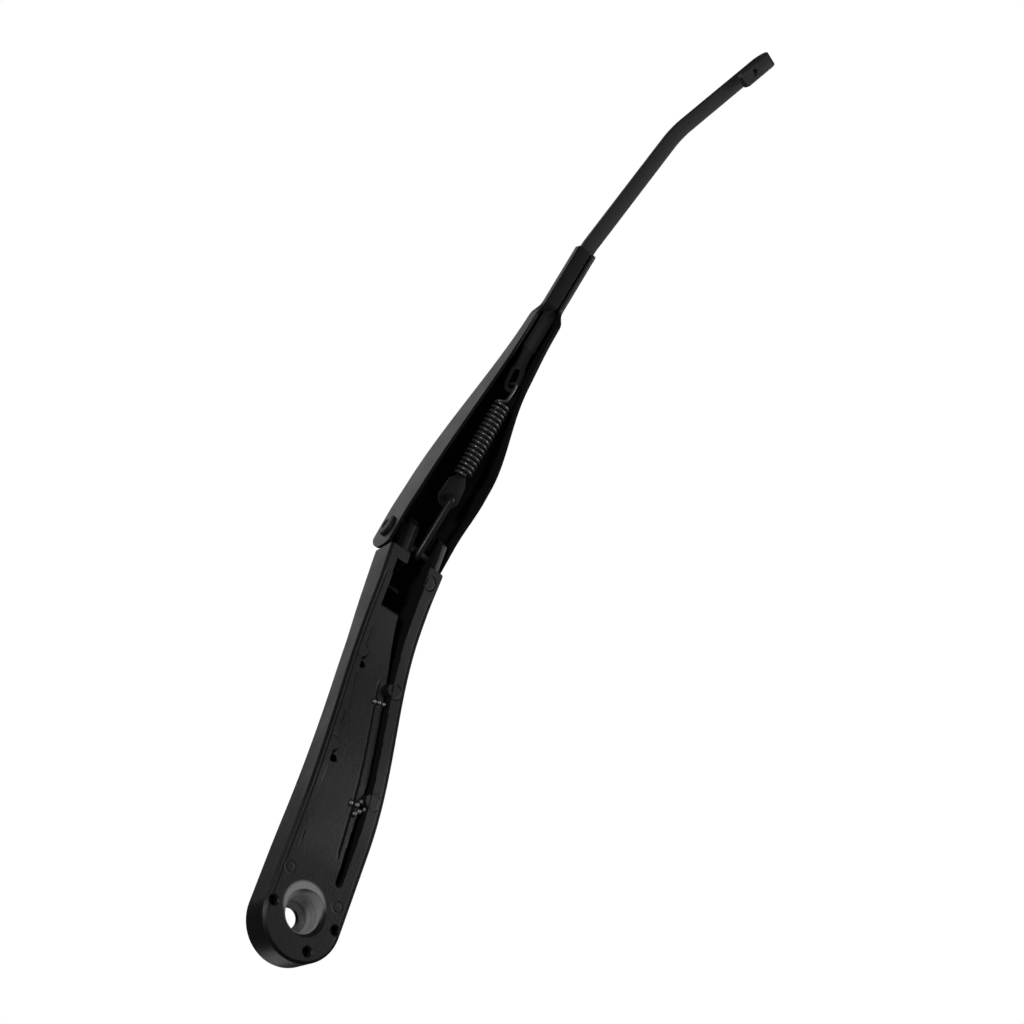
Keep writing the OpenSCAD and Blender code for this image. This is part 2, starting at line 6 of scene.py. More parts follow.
import logging
import math
from dataclasses import dataclass, field
from enum import Enum
from typing import Sequence

import bmesh
import bpy
import numpy as np
from mathutils import Matrix, Vector


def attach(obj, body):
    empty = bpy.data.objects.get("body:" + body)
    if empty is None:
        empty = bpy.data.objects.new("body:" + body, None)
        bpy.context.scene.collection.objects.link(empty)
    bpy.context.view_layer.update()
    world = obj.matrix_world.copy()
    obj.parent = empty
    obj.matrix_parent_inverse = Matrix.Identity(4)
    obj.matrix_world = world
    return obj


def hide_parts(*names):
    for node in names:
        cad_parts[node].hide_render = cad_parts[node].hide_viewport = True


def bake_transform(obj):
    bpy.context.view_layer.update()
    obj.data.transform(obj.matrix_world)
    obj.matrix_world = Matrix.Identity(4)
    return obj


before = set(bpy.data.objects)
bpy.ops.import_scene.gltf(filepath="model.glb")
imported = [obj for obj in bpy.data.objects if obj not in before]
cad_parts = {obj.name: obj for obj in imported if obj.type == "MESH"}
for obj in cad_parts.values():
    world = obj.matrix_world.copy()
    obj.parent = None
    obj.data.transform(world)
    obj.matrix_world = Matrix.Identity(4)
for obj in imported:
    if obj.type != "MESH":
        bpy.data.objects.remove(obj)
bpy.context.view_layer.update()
log = logging.getLogger("wiper_arm")

MM = 0.001  # one millimetre in metres
PITCH = math.radians(21.0)  # slope of the folding arm
HINGE = np.array([231.3, 0.0, 32.6])  # middle of the hinge axis, in mm
UP = np.array([0.0, 0.0, 1.0])
HALF_WIDTH = 18.5  # half width over the flanges at the hinge, in mm
SMOOTH = 32.0  # largest angle that is shaded smooth, in degrees
BLOTCH_SCALE = 55.0  # scale of the paint's mottling
GRAIN_HEIGHT = 0.0002  # height of the paint's grain, in metres
BARE_CIRCLES = ((3.2, -1.8, 11.5, 0.9), (0.0, 0.0, 9.5, 0.15))  # x, y, radius and softness of bare metal, in mm
BARE_TOP = 15.5  # height at which the bare metal ends, in mm


class Op(Enum):
    """Ways to combine two closed meshes."""

    UNION = "UNION"
    DIFFERENCE = "DIFFERENCE"


@dataclass(frozen=True)
class Finish:
    """One surface finish: base colour, gloss and the size and depth of its grain.

    The shade zone, where shade is painted onto inner walls, is the up direction's x and z, then the floor, half width
    and start of its inner walls in mm.
    Grain depth and mottle are shares, the edge gain lightens the colour at edges as a painted highlight, and an edge's
    radius is in mm.
    """

    name: str
    color: tuple[float, float, float]
    roughness: float
    metallic: float = 0.0
    coat: float = 0.0
    coat_roughness: float = 0.12
    grain_scale: float = 900.0
    grain_depth: float = 0.12
    mottle: float = 0.25
    edge_highlight_gain: float = 2.2
    edge_radius: float = 0.4
    bare_bore: bool = False
    # inner walls that get painted shade, or None
    shade_recess: tuple[float, float, float, float, float] | None = None


# cast_paint and sheet_paint_channel get painted shade, a near black colour, on their inner walls
CAST_PAINT = Finish("cast_paint", (0.020, 0.020, 0.021), 0.42, grain_scale=900.0, grain_depth=0.5, mottle=0.7,
                    bare_bore=True, shade_recess=(0.0, 1.0, 23.9, 15.2, 22.0))
SHEET_PAINT = Finish("sheet_paint", (0.021, 0.021, 0.022), 0.38, grain_scale=1000.0, grain_depth=0.25, mottle=0.5)
SHEET_INNER = Finish("sheet_paint_channel", (0.023, 0.023, 0.024), 0.38, grain_scale=1000.0, grain_depth=0.25,
                     mottle=0.5, shade_recess=(math.sin(PITCH), math.cos(PITCH), 107.3, 60.0, 0.0))
# lighter than the other black paints: painted lightening that makes up for the shade inside the channel
BAR_PAINT = Finish("bar_paint", (0.055, 0.055, 0.055), 0.45, grain_scale=1300.0, grain_depth=0.16)
SPRING_COAT = Finish("spring_coat", (0.19, 0.19, 0.195), 0.32, metallic=0.6, coat=1.0, coat_roughness=0.3,
                     grain_scale=1500.0, grain_depth=0.05, edge_radius=0.0)
LINK_COAT = Finish("link_coat", (0.026, 0.026, 0.027), 0.34, coat=0.1, grain_scale=1200.0, grain_depth=0.25,
                   edge_radius=0.0)
# the high edge gain paints a bright highlight line along the plate's edges
PLATE_COAT = Finish("plate_coat", (0.005, 0.005, 0.005), 0.62, grain_scale=1200.0, grain_depth=0.2, edge_highlight_gain=30.0)
# light grey metallic finish for the pin tips: a painted highlight standing for glints
GLINT_TIP = Finish("painted_glint_tip", (0.55, 0.55, 0.56), 0.3, metallic=0.5, grain_depth=0.1, edge_radius=0.0)
PLAIN_STEEL = Finish("plain_steel", (0.30, 0.30, 0.31), 0.38, metallic=1.0, grain_depth=0.08)
BUSH_PLASTIC = Finish("bush_plastic", (0.007, 0.007, 0.007), 0.7, grain_depth=0.10)


def ease(t: np.ndarray | float) -> np.ndarray:
    """Smooth step: three times the square of t less twice its cube, with t held from 0 to 1.

    Args:
        t: Position along the step, 0 at its start and 1 at its end.

    Returns:
        The eased share, from 0 to 1.
    """
    u = np.clip(t, 0.0, 1.0)
    return u * u * (3.0 - 2.0 * u)


def on_arm(points: np.ndarray) -> np.ndarray:
    """Turns points of the arm's own frame into the part frame: a turn by the pitch, then a move to the hinge.

    Args:
        points: Array (..., 3) of distance along the arm, side and height from the hinge axis, in mm.

    Returns:
        The same points in the part frame, in mm.
    """
    s, y, h = points[..., 0], points[..., 1], points[..., 2]
    c, n = math.cos(PITCH), math.sin(PITCH)
    return np.stack([HINGE[0] + s * c + h * n, y, HINGE[2] - s * n + h * c], axis=-1)


def linked(name: str, data: bpy.types.ID) -> bpy.types.Object:
    """Puts an object around its data into the scene.

    Args:
        name: Object name.
        data: Its mesh, light or camera.

    Returns:
        The object.
    """
    obj = bpy.data.objects.new(name, data)
    bpy.context.scene.collection.objects.link(obj)
    return obj


def mesh_piece(name: str, points: np.ndarray, faces: Sequence[Sequence[int]],
               sharp: float = SMOOTH) -> bpy.types.Object:
    """Makes a closed, outward facing mesh object at the origin.

    Args:
        name: Object name.
        points: Array (n, 3) in mm.
        faces: Vertex indices of each face.
        sharp: Angle in degrees above which an edge is shaded sharp.

    Returns:
        The linked object, with its place in its mesh.
    """
    data = bpy.data.meshes.new(name)
    data.from_pydata((points * MM).tolist(), [], faces)
    obj = linked(name, data)
    tidy(obj, sharp)
    return obj


def tidy(obj: bpy.types.Object, sharp: float) -> None:
    """Merges doubled points, turns normals outwards and sets smooth shading with sharp edges.

    Args:
        obj: Mesh object.
        sharp: Angle in degrees above which an edge is shaded sharp.
    """
    work = bmesh.new()
    work.from_mesh(obj.data)
    bmesh.ops.remove_doubles(work, verts=work.verts, dist=2e-7)
    bmesh.ops.dissolve_degenerate(work, edges=work.edges, dist=1e-7)
    bmesh.ops.recalc_face_normals(work, faces=work.faces)
    work.to_mesh(obj.data)
    work.free()
    obj.data.polygons.foreach_set("use_smooth", np.ones(len(obj.data.polygons), dtype=bool))
    obj.data.set_sharp_from_angle(angle=math.radians(sharp))


def mesh_points(obj: bpy.types.Object) -> np.ndarray:
    """Reads the points of a mesh object.

    Args:
        obj: Mesh object at the origin.

    Returns:
        Array (n, 3) in mm.
    """
    flat = np.empty(3 * len(obj.data.vertices))
    obj.data.vertices.foreach_get("co", flat)
    return flat.reshape(-1, 3) / MM


def move_points(obj: bpy.types.Object, points: np.ndarray) -> bpy.types.Object:
    """Moves the points of a mesh object.

    Args:
        obj: Mesh object at the origin.
        points: Their new places in the arm's frame, in mm.

    Returns:
        The same object.
    """
    obj.data.vertices.foreach_set("co", (on_arm(points) * MM).ravel())
    tidy(obj, SMOOTH)
    return obj


def tube_quads(rows: int, cols: int) -> list[list[int]]:
    """Quads between the rings of a tube.

    Args:
        rows: Number of rings.
        cols: Points in each ring.

    Returns:
        Face index lists.
    """
    r, c = np.meshgrid(np.arange(rows - 1), np.arange(cols), indexing="ij")
    a = r * cols + c
    b = r * cols + (c + 1) % cols
    return np.stack([a, b, b + cols, a + cols], axis=-1).reshape(-1, 4).tolist()


def tube_faces(rows: int, cols: int) -> list[list[int]]:
    """Quads between the rings of a tube, and a strip cap at each end.

    Args:
        rows: Number of rings.
        cols: Points in each ring, an even number.

    Returns:
        Face index lists.
    """
    k = np.arange(cols // 2 - 1)
    cap = np.stack([k, k + 1, cols - 2 - k, cols - 1 - k], axis=-1)
    far = cap[:, ::-1] + (rows - 1) * cols
    return tube_quads(rows, cols) + cap.tolist() + far.tolist()


def sweep(name: str, rings: np.ndarray, sharp: float = SMOOTH) -> bpy.types.Object:
    """Closed solid through rings of equal length.

    Args:
        name: Object name.
        rings: Array (rows, cols, 3) in mm.
        sharp: Sharp edge angle in degrees.

    Returns:
        The mesh object.
    """
    rows, cols = rings.shape[:2]
    return mesh_piece(name, rings.reshape(-1, 3), tube_faces(rows, cols), sharp)


def frames_along(line: np.ndarray) -> tuple[np.ndarray, np.ndarray]:
    """Side and normal directions along a line, carried on without twist.

    Each side direction is the one before it, less its part along the line, made unit length.

    Args:
        line: Array (n, 3) of points.

    Returns:
        Two arrays (n, 3) of unit vectors square to the line.
    """
    tangent = np.gradient(line, axis=0)
    tangent /= np.linalg.norm(tangent, axis=1, keepdims=True)
    side = np.empty_like(line)
    start = np.cross(tangent[0], [0.0, 1.0, 0.0])
    if np.linalg.norm(start) < 0.2:
        start = np.cross(tangent[0], [1.0, 0.0, 0.0])
    side[0] = start / np.linalg.norm(start)
    for i in range(1, len(line)):
        v = side[i - 1] - tangent[i] * np.dot(side[i - 1], tangent[i])
        side[i] = v / np.linalg.norm(v)
    return side, np.cross(tangent, side)


def wire(name: str, line: np.ndarray, radius: float, sides: int = 16) -> bpy.types.Object:
    """Round wire along a line in the arm's frame: a circle square to the line, a little smaller at both ends.

    Args:
        name: Object name.
        line: Array (n, 3) in the arm's frame, in mm.
        radius: Wire radius in mm.
        sides: Points round the wire.

    Returns:
        The mesh object.
    """
    first, last = line[0] - line[1], line[-1] - line[-2]
    first, last = first / np.linalg.norm(first), last / np.linalg.norm(last)
    path = np.vstack([line[0] + first * 0.01, line, line[-1] + last * 0.01])
    side, up = frames_along(path)
    size = np.full(len(path), radius)
    size[[0, -1]] = radius * 0.82
    a = np.linspace(0.0, 2 * math.pi, sides, endpoint=False)
    rings = path[:, None, :] + size[:, None, None] * (
        np.cos(a)[None, :, None] * side[:, None, :] + np.sin(a)[None, :, None] * up[:, None, :])
    return sweep(name, on_arm(rings), 50.0)


def prism(name: str, outline: np.ndarray, y0: float, y1: float, bevel: float = 0.4) -> bpy.types.Object:
    """Plate across the part: an outline drawn out from one side to the other, with bevelled rims.

    Args:
        name: Object name.
        outline: Array (n, 2) of x and z in mm.
        y0: One face's place in mm.
        y1: The other face's place in mm.
        bevel: Width of the rim bevel in mm.

    Returns:
        The mesh object.
    """
    data = bpy.data.meshes.new(name)
    data.from_pydata((np.insert(outline, 1, y0, axis=1) * MM).tolist(), [], [list(range(len(outline)))])
    work = bmesh.new()
    work.from_mesh(data)
    out = bmesh.ops.extrude_face_region(work, geom=work.faces[:])
    moved = [v for v in out["geom"] if isinstance(v, bmesh.types.BMVert)]
    bmesh.ops.translate(work, verts=moved, vec=(0.0, (y1 - y0) * MM, 0.0))
    if bevel > 0:
        rims = [e for e in work.edges if abs(e.verts[0].co.y - e.verts[1].co.y) < 1e-9]
        bmesh.ops.bevel(work, geom=rims, offset=bevel * MM, segments=2, profile=0.5, affect="EDGES",
                        clamp_overlap=True)
    work.to_mesh(data)
    work.free()
    obj = linked(name, data)
    tidy(obj, SMOOTH)
    return obj


def lathe(name: str, profile: Sequence[tuple[float, float]], centre: np.ndarray, axis: np.ndarray,
          sides: int = 64, sharp: float = SMOOTH) -> bpy.types.Object:
    """Turned solid: a profile of radius and height, whose ends lie on the axis, taken round it.

    Args:
        name: Object name.
        profile: Radius and height pairs in mm.
        centre: Point of height 0, in the part frame in mm.
        axis: Unit vector of the axis.
        sides: Points round the axis.
        sharp: Sharp edge angle in degrees.

    Returns:
        The mesh object.
    """
    z = np.asarray(axis, float)
    u = np.cross(z, [1.0, 0.0, 0.0] if abs(z[0]) < 0.9 else [0.0, 1.0, 0.0])
    u /= np.linalg.norm(u)
    v = np.cross(z, u)
    a = np.linspace(0.0, 2 * math.pi, sides, endpoint=False)
    around = np.cos(a)[:, None] * u + np.sin(a)[:, None] * v
    rings = np.array([centre + h * z + r * around for r, h in profile])
    return sweep(name, rings, sharp)


def combine(obj: bpy.types.Object, others: Sequence[bpy.types.Object], op: Op,
            sharp: float = SMOOTH) -> bpy.types.Object:
    """Joins other closed solids to a solid, or cuts them out of it.

    Args:
        obj: The solid that stays.
        others: Solids that are used up.
        op: Join or cut.
        sharp: Sharp edge angle in degrees of the result.

    Returns:
        The same object with its new mesh.
    """
    for other in others:
        mod = obj.modifiers.new("combine", "BOOLEAN")
        mod.operation = op.value
        mod.solver = "MANIFOLD"
        mod.object = other
    graph = bpy.context.evaluated_depsgraph_get()
    made = bpy.data.meshes.new_from_object(obj.evaluated_get(graph))
    obj.modifiers.clear()
    obj.data = made
    for other in others:
        bpy.data.objects.remove(other)
    tidy(obj, sharp)
    return obj


def disc(x: float, z: float, r: float, start: float = 0.0, stop: float = 360.0, count: int = 48) -> np.ndarray:
    """Points on a circle or arc in the plane of x and z.

    Args:
        x: Centre.
        z: Centre.
        r: Radius.
        start: First angle in degrees.
        stop: Last angle in degrees, left out on a full circle.
        count: Number of points.

    Returns:
        Array (count, 2).
    """
    a = np.radians(np.linspace(start, stop, count, endpoint=abs(stop - start) < 360.0))
    return np.stack([x + r * np.cos(a), z + r * np.sin(a)], axis=-1)


Value = bpy.types.NodeSocket | float | tuple[float, ...]


@dataclass(frozen=True)
class Wiring:
    """Adds shader nodes to one tree and wires them."""

    tree: bpy.types.NodeTree

    def feed(self, socket: bpy.types.NodeSocket, value: Value) -> None:
        """Links a socket into an input, or sets the input's own value.

        Args:
            socket: The input.
            value: A socket or a plain value.
        """
        if isinstance(value, bpy.types.NodeSocket):
            self.tree.links.new(value, socket)
        else:
            socket.default_value = value

    def node(self, kind: str, feeds: dict[str | int, Value] | None = None, **settings: object) -> bpy.types.Node:
        """Adds a node.

        Args:
            kind: Its type, without the leading ShaderNode.
            feeds: What each input takes.
            settings: The node's own options, set before its inputs are fed.

        Returns:
            The node.
        """
        made = self.tree.nodes.new(f"ShaderNode{kind}")
        for name, value in settings.items():
            setattr(made, name, value)
        for name, value in (feeds or {}).items():
            self.feed(made.inputs[name], value)
        return made

    def math(self, kind: str, *values: Value) -> bpy.types.NodeSocket:
        """Adds a math node.

        Args:
            kind: Its operation.
            values: What its inputs take, in order.

        Returns:
            Its output.
        """
        return self.node("Math", dict(enumerate(values)), operation=kind).outputs["Value"]

    def vector(self, kind: str, output: str, *values: Value) -> bpy.types.NodeSocket:
        """Adds a vector math node.

        Args:
            kind: Its operation.
            output: The output wanted, Vector or Value.
            values: What its inputs take, in order.

        Returns:
            That output.
        """
        return self.node("VectorMath", dict(enumerate(values)), operation=kind).outputs[output]

    def mix(self, share: Value, a: Value, b: Value, kind: str = "FLOAT") -> bpy.types.NodeSocket:
        """Adds a mix node.

        Args:
            share: Share of b.
            a: First value.
            b: Second value.
            kind: Its data type.

        Returns:
            Its result.
        """
        return self.node("Mix", {"Factor": share, "A": a, "B": b}, data_type=kind).outputs["Result"]


def open_group(name: str, takes: dict[str, str],
               gives: dict[str, str]) -> tuple[Wiring, bpy.types.Node, bpy.types.Node]:
    """Makes a node group with named inputs and outputs.

    Args:
        name: Name of the group.
        takes: Each input's name and socket kind.
        gives: Each output's name and socket kind.

    Returns:
        Its wiring, its input node and its output node.
    """
    tree = bpy.data.node_groups.new(name, "ShaderNodeTree")
    for way, sockets in (("INPUT", takes), ("OUTPUT", gives)):
        for label, kind in sockets.items():
            tree.interface.new_socket(name=label, in_out=way, socket_type=f"NodeSocket{kind}")
    return Wiring(tree), tree.nodes.new("NodeGroupInput"), tree.nodes.new("NodeGroupOutput")


class FinishMaker:
    """Makes the procedural materials, which share the node groups."""

    def __init__(self) -> None:
        """Builds the shared groups once."""
        self.detail = self._surface_group()
        self.shade_recess = self._painted_shade_group()
        self.made: dict[str, bpy.types.Material] = {}

    @staticmethod
    def _surface_group() -> bpy.types.NodeTree:
        """Node group for grain, mottling, and edges lightened in colour as a painted highlight.

        Returns:
            The group, whose outputs feed colour, roughness and normal.
        """
        takes = {"Color": "Color", "Roughness": "Float", "Grain Scale": "Float", "Grain Depth": "Float",
                 "Mottle": "Float", "Edge Highlight Gain": "Float", "Edge Radius": "Float"}
        gives = {"Color": "Color", "Roughness": "Float", "Normal": "Vector"}
        to, given, out = open_group("surface_detail", takes, gives)
        given, place = given.outputs, to.node("TexCoord").outputs["Object"]
        grain = to.node("TexNoise", {"Vector": place, "Scale": given["Grain Scale"], "Detail": 3.0}).outputs["Fac"]
        blotch = to.node("TexNoise", {"Vector": place, "Scale": BLOTCH_SCALE, "Detail": 5.0}).outputs["Fac"]
        bevel = to.node("Bevel", {"Radius": given["Edge Radius"]}, samples=4).outputs["Normal"]
        bump = to.node("Bump", {"Distance": GRAIN_HEIGHT, "Strength": given["Grain Depth"], "Height": grain,
                                "Normal": bevel})
        flat = to.vector("DOT_PRODUCT", "Value", bevel, to.node("NewGeometry").outputs["Normal"])
        # painted highlight: the colour is raised where the bevelled normal turns away from the face normal
        edge = to.node("MapRange", {"Value": flat, "From Min": 1.0, "From Max": 0.9}).outputs["Result"]
        spread = to.math("MULTIPLY_ADD", to.math("SUBTRACT", blotch, 0.5), given["Mottle"], 1.0)
        shade = to.math("MULTIPLY", spread, to.mix(edge, 1.0, given["Edge Highlight Gain"]))
        tint = to.node("VectorMath", {0: given["Color"], "Scale": shade}, operation="SCALE")
        to.feed(out.inputs["Color"], tint.outputs["Vector"])
        to.feed(out.inputs["Roughness"], to.math("MULTIPLY", given["Roughness"], spread))
        to.feed(out.inputs["Normal"], bump.outputs["Normal"])
        return to.tree

    @staticmethod
    def _painted_shade_group() -> bpy.types.NodeTree:
        """Node group that marks the inner walls, where shade is painted into the colour and the coat is made matt.

        Returns:
            The group. Its mask is 1 on faces that look towards the middle plane, and on those that look
            down at a height over Floor, both within Half of the middle plane and past Start.
        """
        takes = {"Up": "Vector", "Floor": "Float", "Half": "Float", "Start": "Float"}
        to, given, out = open_group("painted_shade_mask", takes, {"Mask": "Float"})
        given, place = given.outputs, to.node("TexCoord").outputs
        where = to.node("SeparateXYZ", {"Vector": place["Object"]}).outputs
        facing = to.node("SeparateXYZ", {"Vector": place["Normal"]}).outputs
        rise, tilt = (to.vector("DOT_PRODUCT", "Value", place[name], given["Up"]) for name in ("Object", "Normal"))
        inward = to.math("LESS_THAN", to.math("MULTIPLY", where["Y"], facing["Y"]), -0.0003)
        roof = to.math("MULTIPLY", to.math("LESS_THAN", tilt, -0.3), to.math("GREATER_THAN", rise, given["Floor"]))
        near = to.math("LESS_THAN", to.math("ABSOLUTE", where["Y"]), given["Half"])
        past = to.math("GREATER_THAN", where["X"], given["Start"])
        shade_mask = to.math("MULTIPLY", to.math("MAXIMUM", inward, roof), to.math("MULTIPLY", near, past))
        to.feed(out.inputs["Mask"], shade_mask)
        return to.tree

    def get(self, finish: Finish) -> bpy.types.Material:
        """Material of a finish, made at its first use.

        Args:
            finish: The finish wanted.

        Returns:
            The material.
        """
        if finish.name not in self.made:
            self.made[finish.name] = self._make(finish)
        return self.made[finish.name]

    def _make(self, finish: Finish) -> bpy.types.Material:
        """Builds one material around the shared groups.

        Args:
            finish: The finish to build.

        Returns:
            The new material.
        """
        mat = bpy.data.materials.new(finish.name)
        mat.use_nodes = True
        to, shader = Wiring(mat.node_tree), mat.node_tree.nodes["Principled BSDF"].inputs
        detail = to.node("Group", {
            "Color": (*finish.color, 1.0), "Roughness": finish.roughness, "Grain Scale": finish.grain_scale,
            "Grain Depth": finish.grain_depth, "Mottle": finish.mottle, "Edge Highlight Gain": finish.edge_highlight_gain,
            "Edge Radius": finish.edge_radius * MM}, node_tree=self.detail).outputs
        look = {"Base Color": detail["Color"], "Roughness": detail["Roughness"], "Normal": detail["Normal"],
                "Metallic": finish.metallic, "Coat Weight": finish.coat, "Coat Roughness": finish.coat_roughness}
        if finish.shade_recess:
            look |= self._paint_inner_wall_shade(to, finish.shade_recess, look)
        if finish.bare_bore:
            look |= self._bare_metal(to, look)
        for name, value in look.items():
            to.feed(shader[name], value)
        return mat

    def _paint_inner_wall_shade(self, to: Wiring, shade_recess: tuple[float, ...], look: dict[str, Value]) -> dict[str, Value]:
        """Paints shade on the inner walls by darkening their colour, and makes them more matt.

        Args:
            to: Wiring of the material.
            shade_recess: The finish's recess.
            look: What the surface shader takes so far.

        Returns:
            The new colour and roughness.
        """
        up_x, up_z, floor, half, start = shade_recess
        shade_mask = to.node("Group", {"Up": (up_x, 0.0, up_z), "Floor": floor * MM, "Half": half * MM,
                                 "Start": start * MM}, node_tree=self.shade_recess).outputs["Mask"]
        # painted shade: the inner walls' colour goes to near black, and their roughness goes up
        return {"Base Color": to.mix(shade_mask, look["Base Color"], (0.004, 0.004, 0.004, 1.0), "RGBA"),
                "Roughness": to.mix(shade_mask, look["Roughness"], 0.95)}

    @staticmethod
    def _bare_metal(to: Wiring, look: dict[str, Value]) -> dict[str, Value]:
        """Leaves bare alloy with turning rings in the spindle bore, and in a soft patch beside its mouth.

        Args:
            to: Wiring of the material.
            look: What the surface shader takes so far.

        Returns:
            The new colour, roughness and metallic share.
        """
        place, near = to.node("TexCoord").outputs["Object"], []
        height = to.node("SeparateXYZ", {"Vector": place}).outputs["Z"]
        for x, y, radius, soft in BARE_CIRCLES:
            flat = to.vector("MULTIPLY_ADD", "Vector", place, (1.0, 1.0, 0.0), (-x * MM, -y * MM, 0.0))
            near.append(to.node("MapRange", {
                "Value": to.vector("LENGTH", "Value", flat), "From Min": (radius + soft) * MM,
                "From Max": (radius - soft) * MM}, interpolation_type="SMOOTHSTEP").outputs["Result"])
        bare = to.math("MULTIPLY", to.math("MAXIMUM", *near), to.math("LESS_THAN", height, BARE_TOP * MM))
        rings = to.node("TexNoise", {"W": height, "Scale": 420.0, "Detail": 4.0}, noise_dimensions="1D")
        shade = to.node("MapRange", {"Value": rings.outputs["Fac"], "From Min": 0.3, "From Max": 0.7, "To Min": 0.36,
                                     "To Max": 0.78}).outputs["Result"]
        alloy = to.node("CombineColor", dict.fromkeys(("Red", "Green", "Blue"), shade)).outputs["Color"]
        return {"Base Color": to.mix(bare, look["Base Color"], alloy, "RGBA"),
                "Roughness": to.mix(bare, look["Roughness"], 0.6), "Metallic": to.math("MULTIPLY", bare, 0.2)}


@dataclass
class HeadCasting:
    """Die-cast head: outer shell, underside pocket, lugs and bores, as one closed mesh."""

    hub_r: float = 21.8
    hub_shift: float = 2.0
    wall_end: float = 216.0
    bevel: float = 1.3
    edge_r: float = 5.0
    wall_left: float = 6.0
    wall_right: float = 8.6
    lug_r: float = 11.0
    lug_in: tuple[float, float] = (-5.5, 8.5)
    lug_t: float = 6.0
    lug_root: float = 198.0
    back_angle: float = 162.0
    boss: tuple[float, float] = (8.4, 15.1)
    pin: tuple[float, float] = (224.303, 28.3236)
    skin: float = 3.5
    tip_lift: float = 2.2
    blind_circle: float = 18.0
    blind_angles: tuple[float, ...] = (-96.0, 91.0, 154.0)
    bosses: tuple[tuple[float, float, float], ...] = (
        (86.4, -16.0, 4.6), (148.0, -13.4, 4.6), (68.2, 14.3, 4.6), (135.5, 11.1, 4.6), (207.0, 10.3, 4.6))
    rings: tuple[tuple[float, float, float], ...] = ((16.5, -15.9, 2.6), (10.4, 14.9, 2.6))
    pits: tuple[tuple[float, float], ...] = ((80.0, -13.0), (141.0, -11.0))
    pins: tuple[tuple[float, float], ...] = (
        (62.8, 4.6), (63.6, 8.1), (58.6, 8.3), (60.9, 10.5), (66.4, 10.1), (63.5, 13.2),
        (124.3, 2.8), (125.3, 5.7), (125.9, 8.7))

    @staticmethod
    def rim_z(x: np.ndarray) -> np.ndarray:
        """Height of the underside rim at x, one smooth step."""
        return 20.0 * ease((x - 44.0) / 135.0)

    @staticmethod
    def height(x: np.ndarray) -> np.ndarray:
        """Height of the casting above its rim at x: it falls by one smooth step and rises by another."""
        return 20.5 - 4.5 * ease((x - 20.0) / 110.0) + 4.5 * ease((x - 150.0) / 50.0)

    @staticmethod
    def width(x: np.ndarray) -> np.ndarray:
        """Half width of the casting at x, past the round end: one smooth step in and a small one out."""
        return 21.8 - 4.5 * ease((x - 40.0) / 145.0) + 0.9 * ease((x - 190.0) / 30.0)

    def pocket(self, x: np.ndarray, y: np.ndarray) -> np.ndarray:
        """Depth of the pocket and of the groove along its right wall.

        The floor goes down in one smooth step past the bore and one before the hinge, times steps at the walls.
        The groove starts in a half round, widens towards the hinge, and the deeper of the two counts.

        Args:
            x: Distances from the spindle axis.
            y: Side distances, of the same shape.

        Returns:
            Depths in mm.
        """
        w = self.width(x)
        left, right = self.wall_left - w, w - self.wall_right
        room = self.height(x) - self.skin
        floor = 3.0 * ease((x - 24.0) / 34.0) + (room - 3.0) * ease((x - 180.0) / 8.0)
        inside = ease((y - left) / 0.8) * ease((right - y) / 0.8) * ease((209.0 - x) / 0.8)
        along = ease((x - 30.0) / 8.0) * ease((140.0 - x) / 8.0)
        seam = 0.6 * np.exp(-((y - (right - 7.0)) / 0.45) ** 2) + 0.3 * ease((y - right + 7.0) / 0.8)
        wide = 3.4 * (1.0 - 0.55 * ease((x - 35.0) / 50.0)) + 6.0 * ease((x - 125.0) / 75.0)
        groove = np.minimum(floor + 5.0 * ease((x - 17.5) / 7.0), room)
        reach = np.sqrt(np.clip(1.0 - ((x - 21.5) / 2.2) ** 2, 0.0, 1.0)) * wide / 2
        middle = right - 0.1 - wide / 2
        half = np.where(x < 21.5, reach, wide / 2)
        cut = ease((half + 0.4 - np.abs(y - middle)) / 0.8) * (x > 19.3)
        return np.maximum((floor + seam * along) * inside, groove * cut * ease((205.0 - x) / 0.8))

    def depth(self, x: np.ndarray, y: np.ndarray) -> np.ndarray:
        """Depth of the underside above its rim.

        The pocket is filled up at the round bosses and the pins and goes deeper at the pits, by steps in the
        distance from each. A fine line inside the rim and rings round the ejector marks are bell curves.

        Args:
            x: Distances from the spindle axis.
            y: Side distances, of the same shape.

        Returns:
            Depths in mm.
        """
        d, w = self.pocket(x, y), self.width(x)
        for bx, by, r in self.bosses:
            near = np.hypot(x - bx, y - by)
            d = np.where(d > 0.25, 0.25 + (d - 0.25) * ease((near - r + 0.5) / 0.7), d)
        for px, py in self.pits:
            pit = np.hypot((x - px) / 0.9, (y - py) / 1.4) - 2.0
            d = d + 4.0 * (1.0 - ease(pit / 0.6 + 0.5)) * ease((y - (self.wall_left - w)) / 0.4)
        for px, py in self.pins:
            near = np.hypot((x - px) / 2.0, y - py)
            d = d - np.maximum(d - self.tip_lift, 0.0) * (1.0 - ease((near - 0.3) / 0.8))
        edge = np.where(x < -self.hub_shift, self.hub_r - np.hypot(x + self.hub_shift, y), w - np.abs(y))
        line = 0.4 * np.exp(-((edge - 2.1) / 0.35) ** 2) * ease((x + 10.0) / 12.0) * ease((200.0 - x) / 6.0)
        for mx, my, r in (*self.rings, *self.bosses):
            line = line + 0.2 * np.exp(-((np.hypot(x - mx, y - my) - r) / 0.3) ** 2) * (d < 0.3)
        return d + line

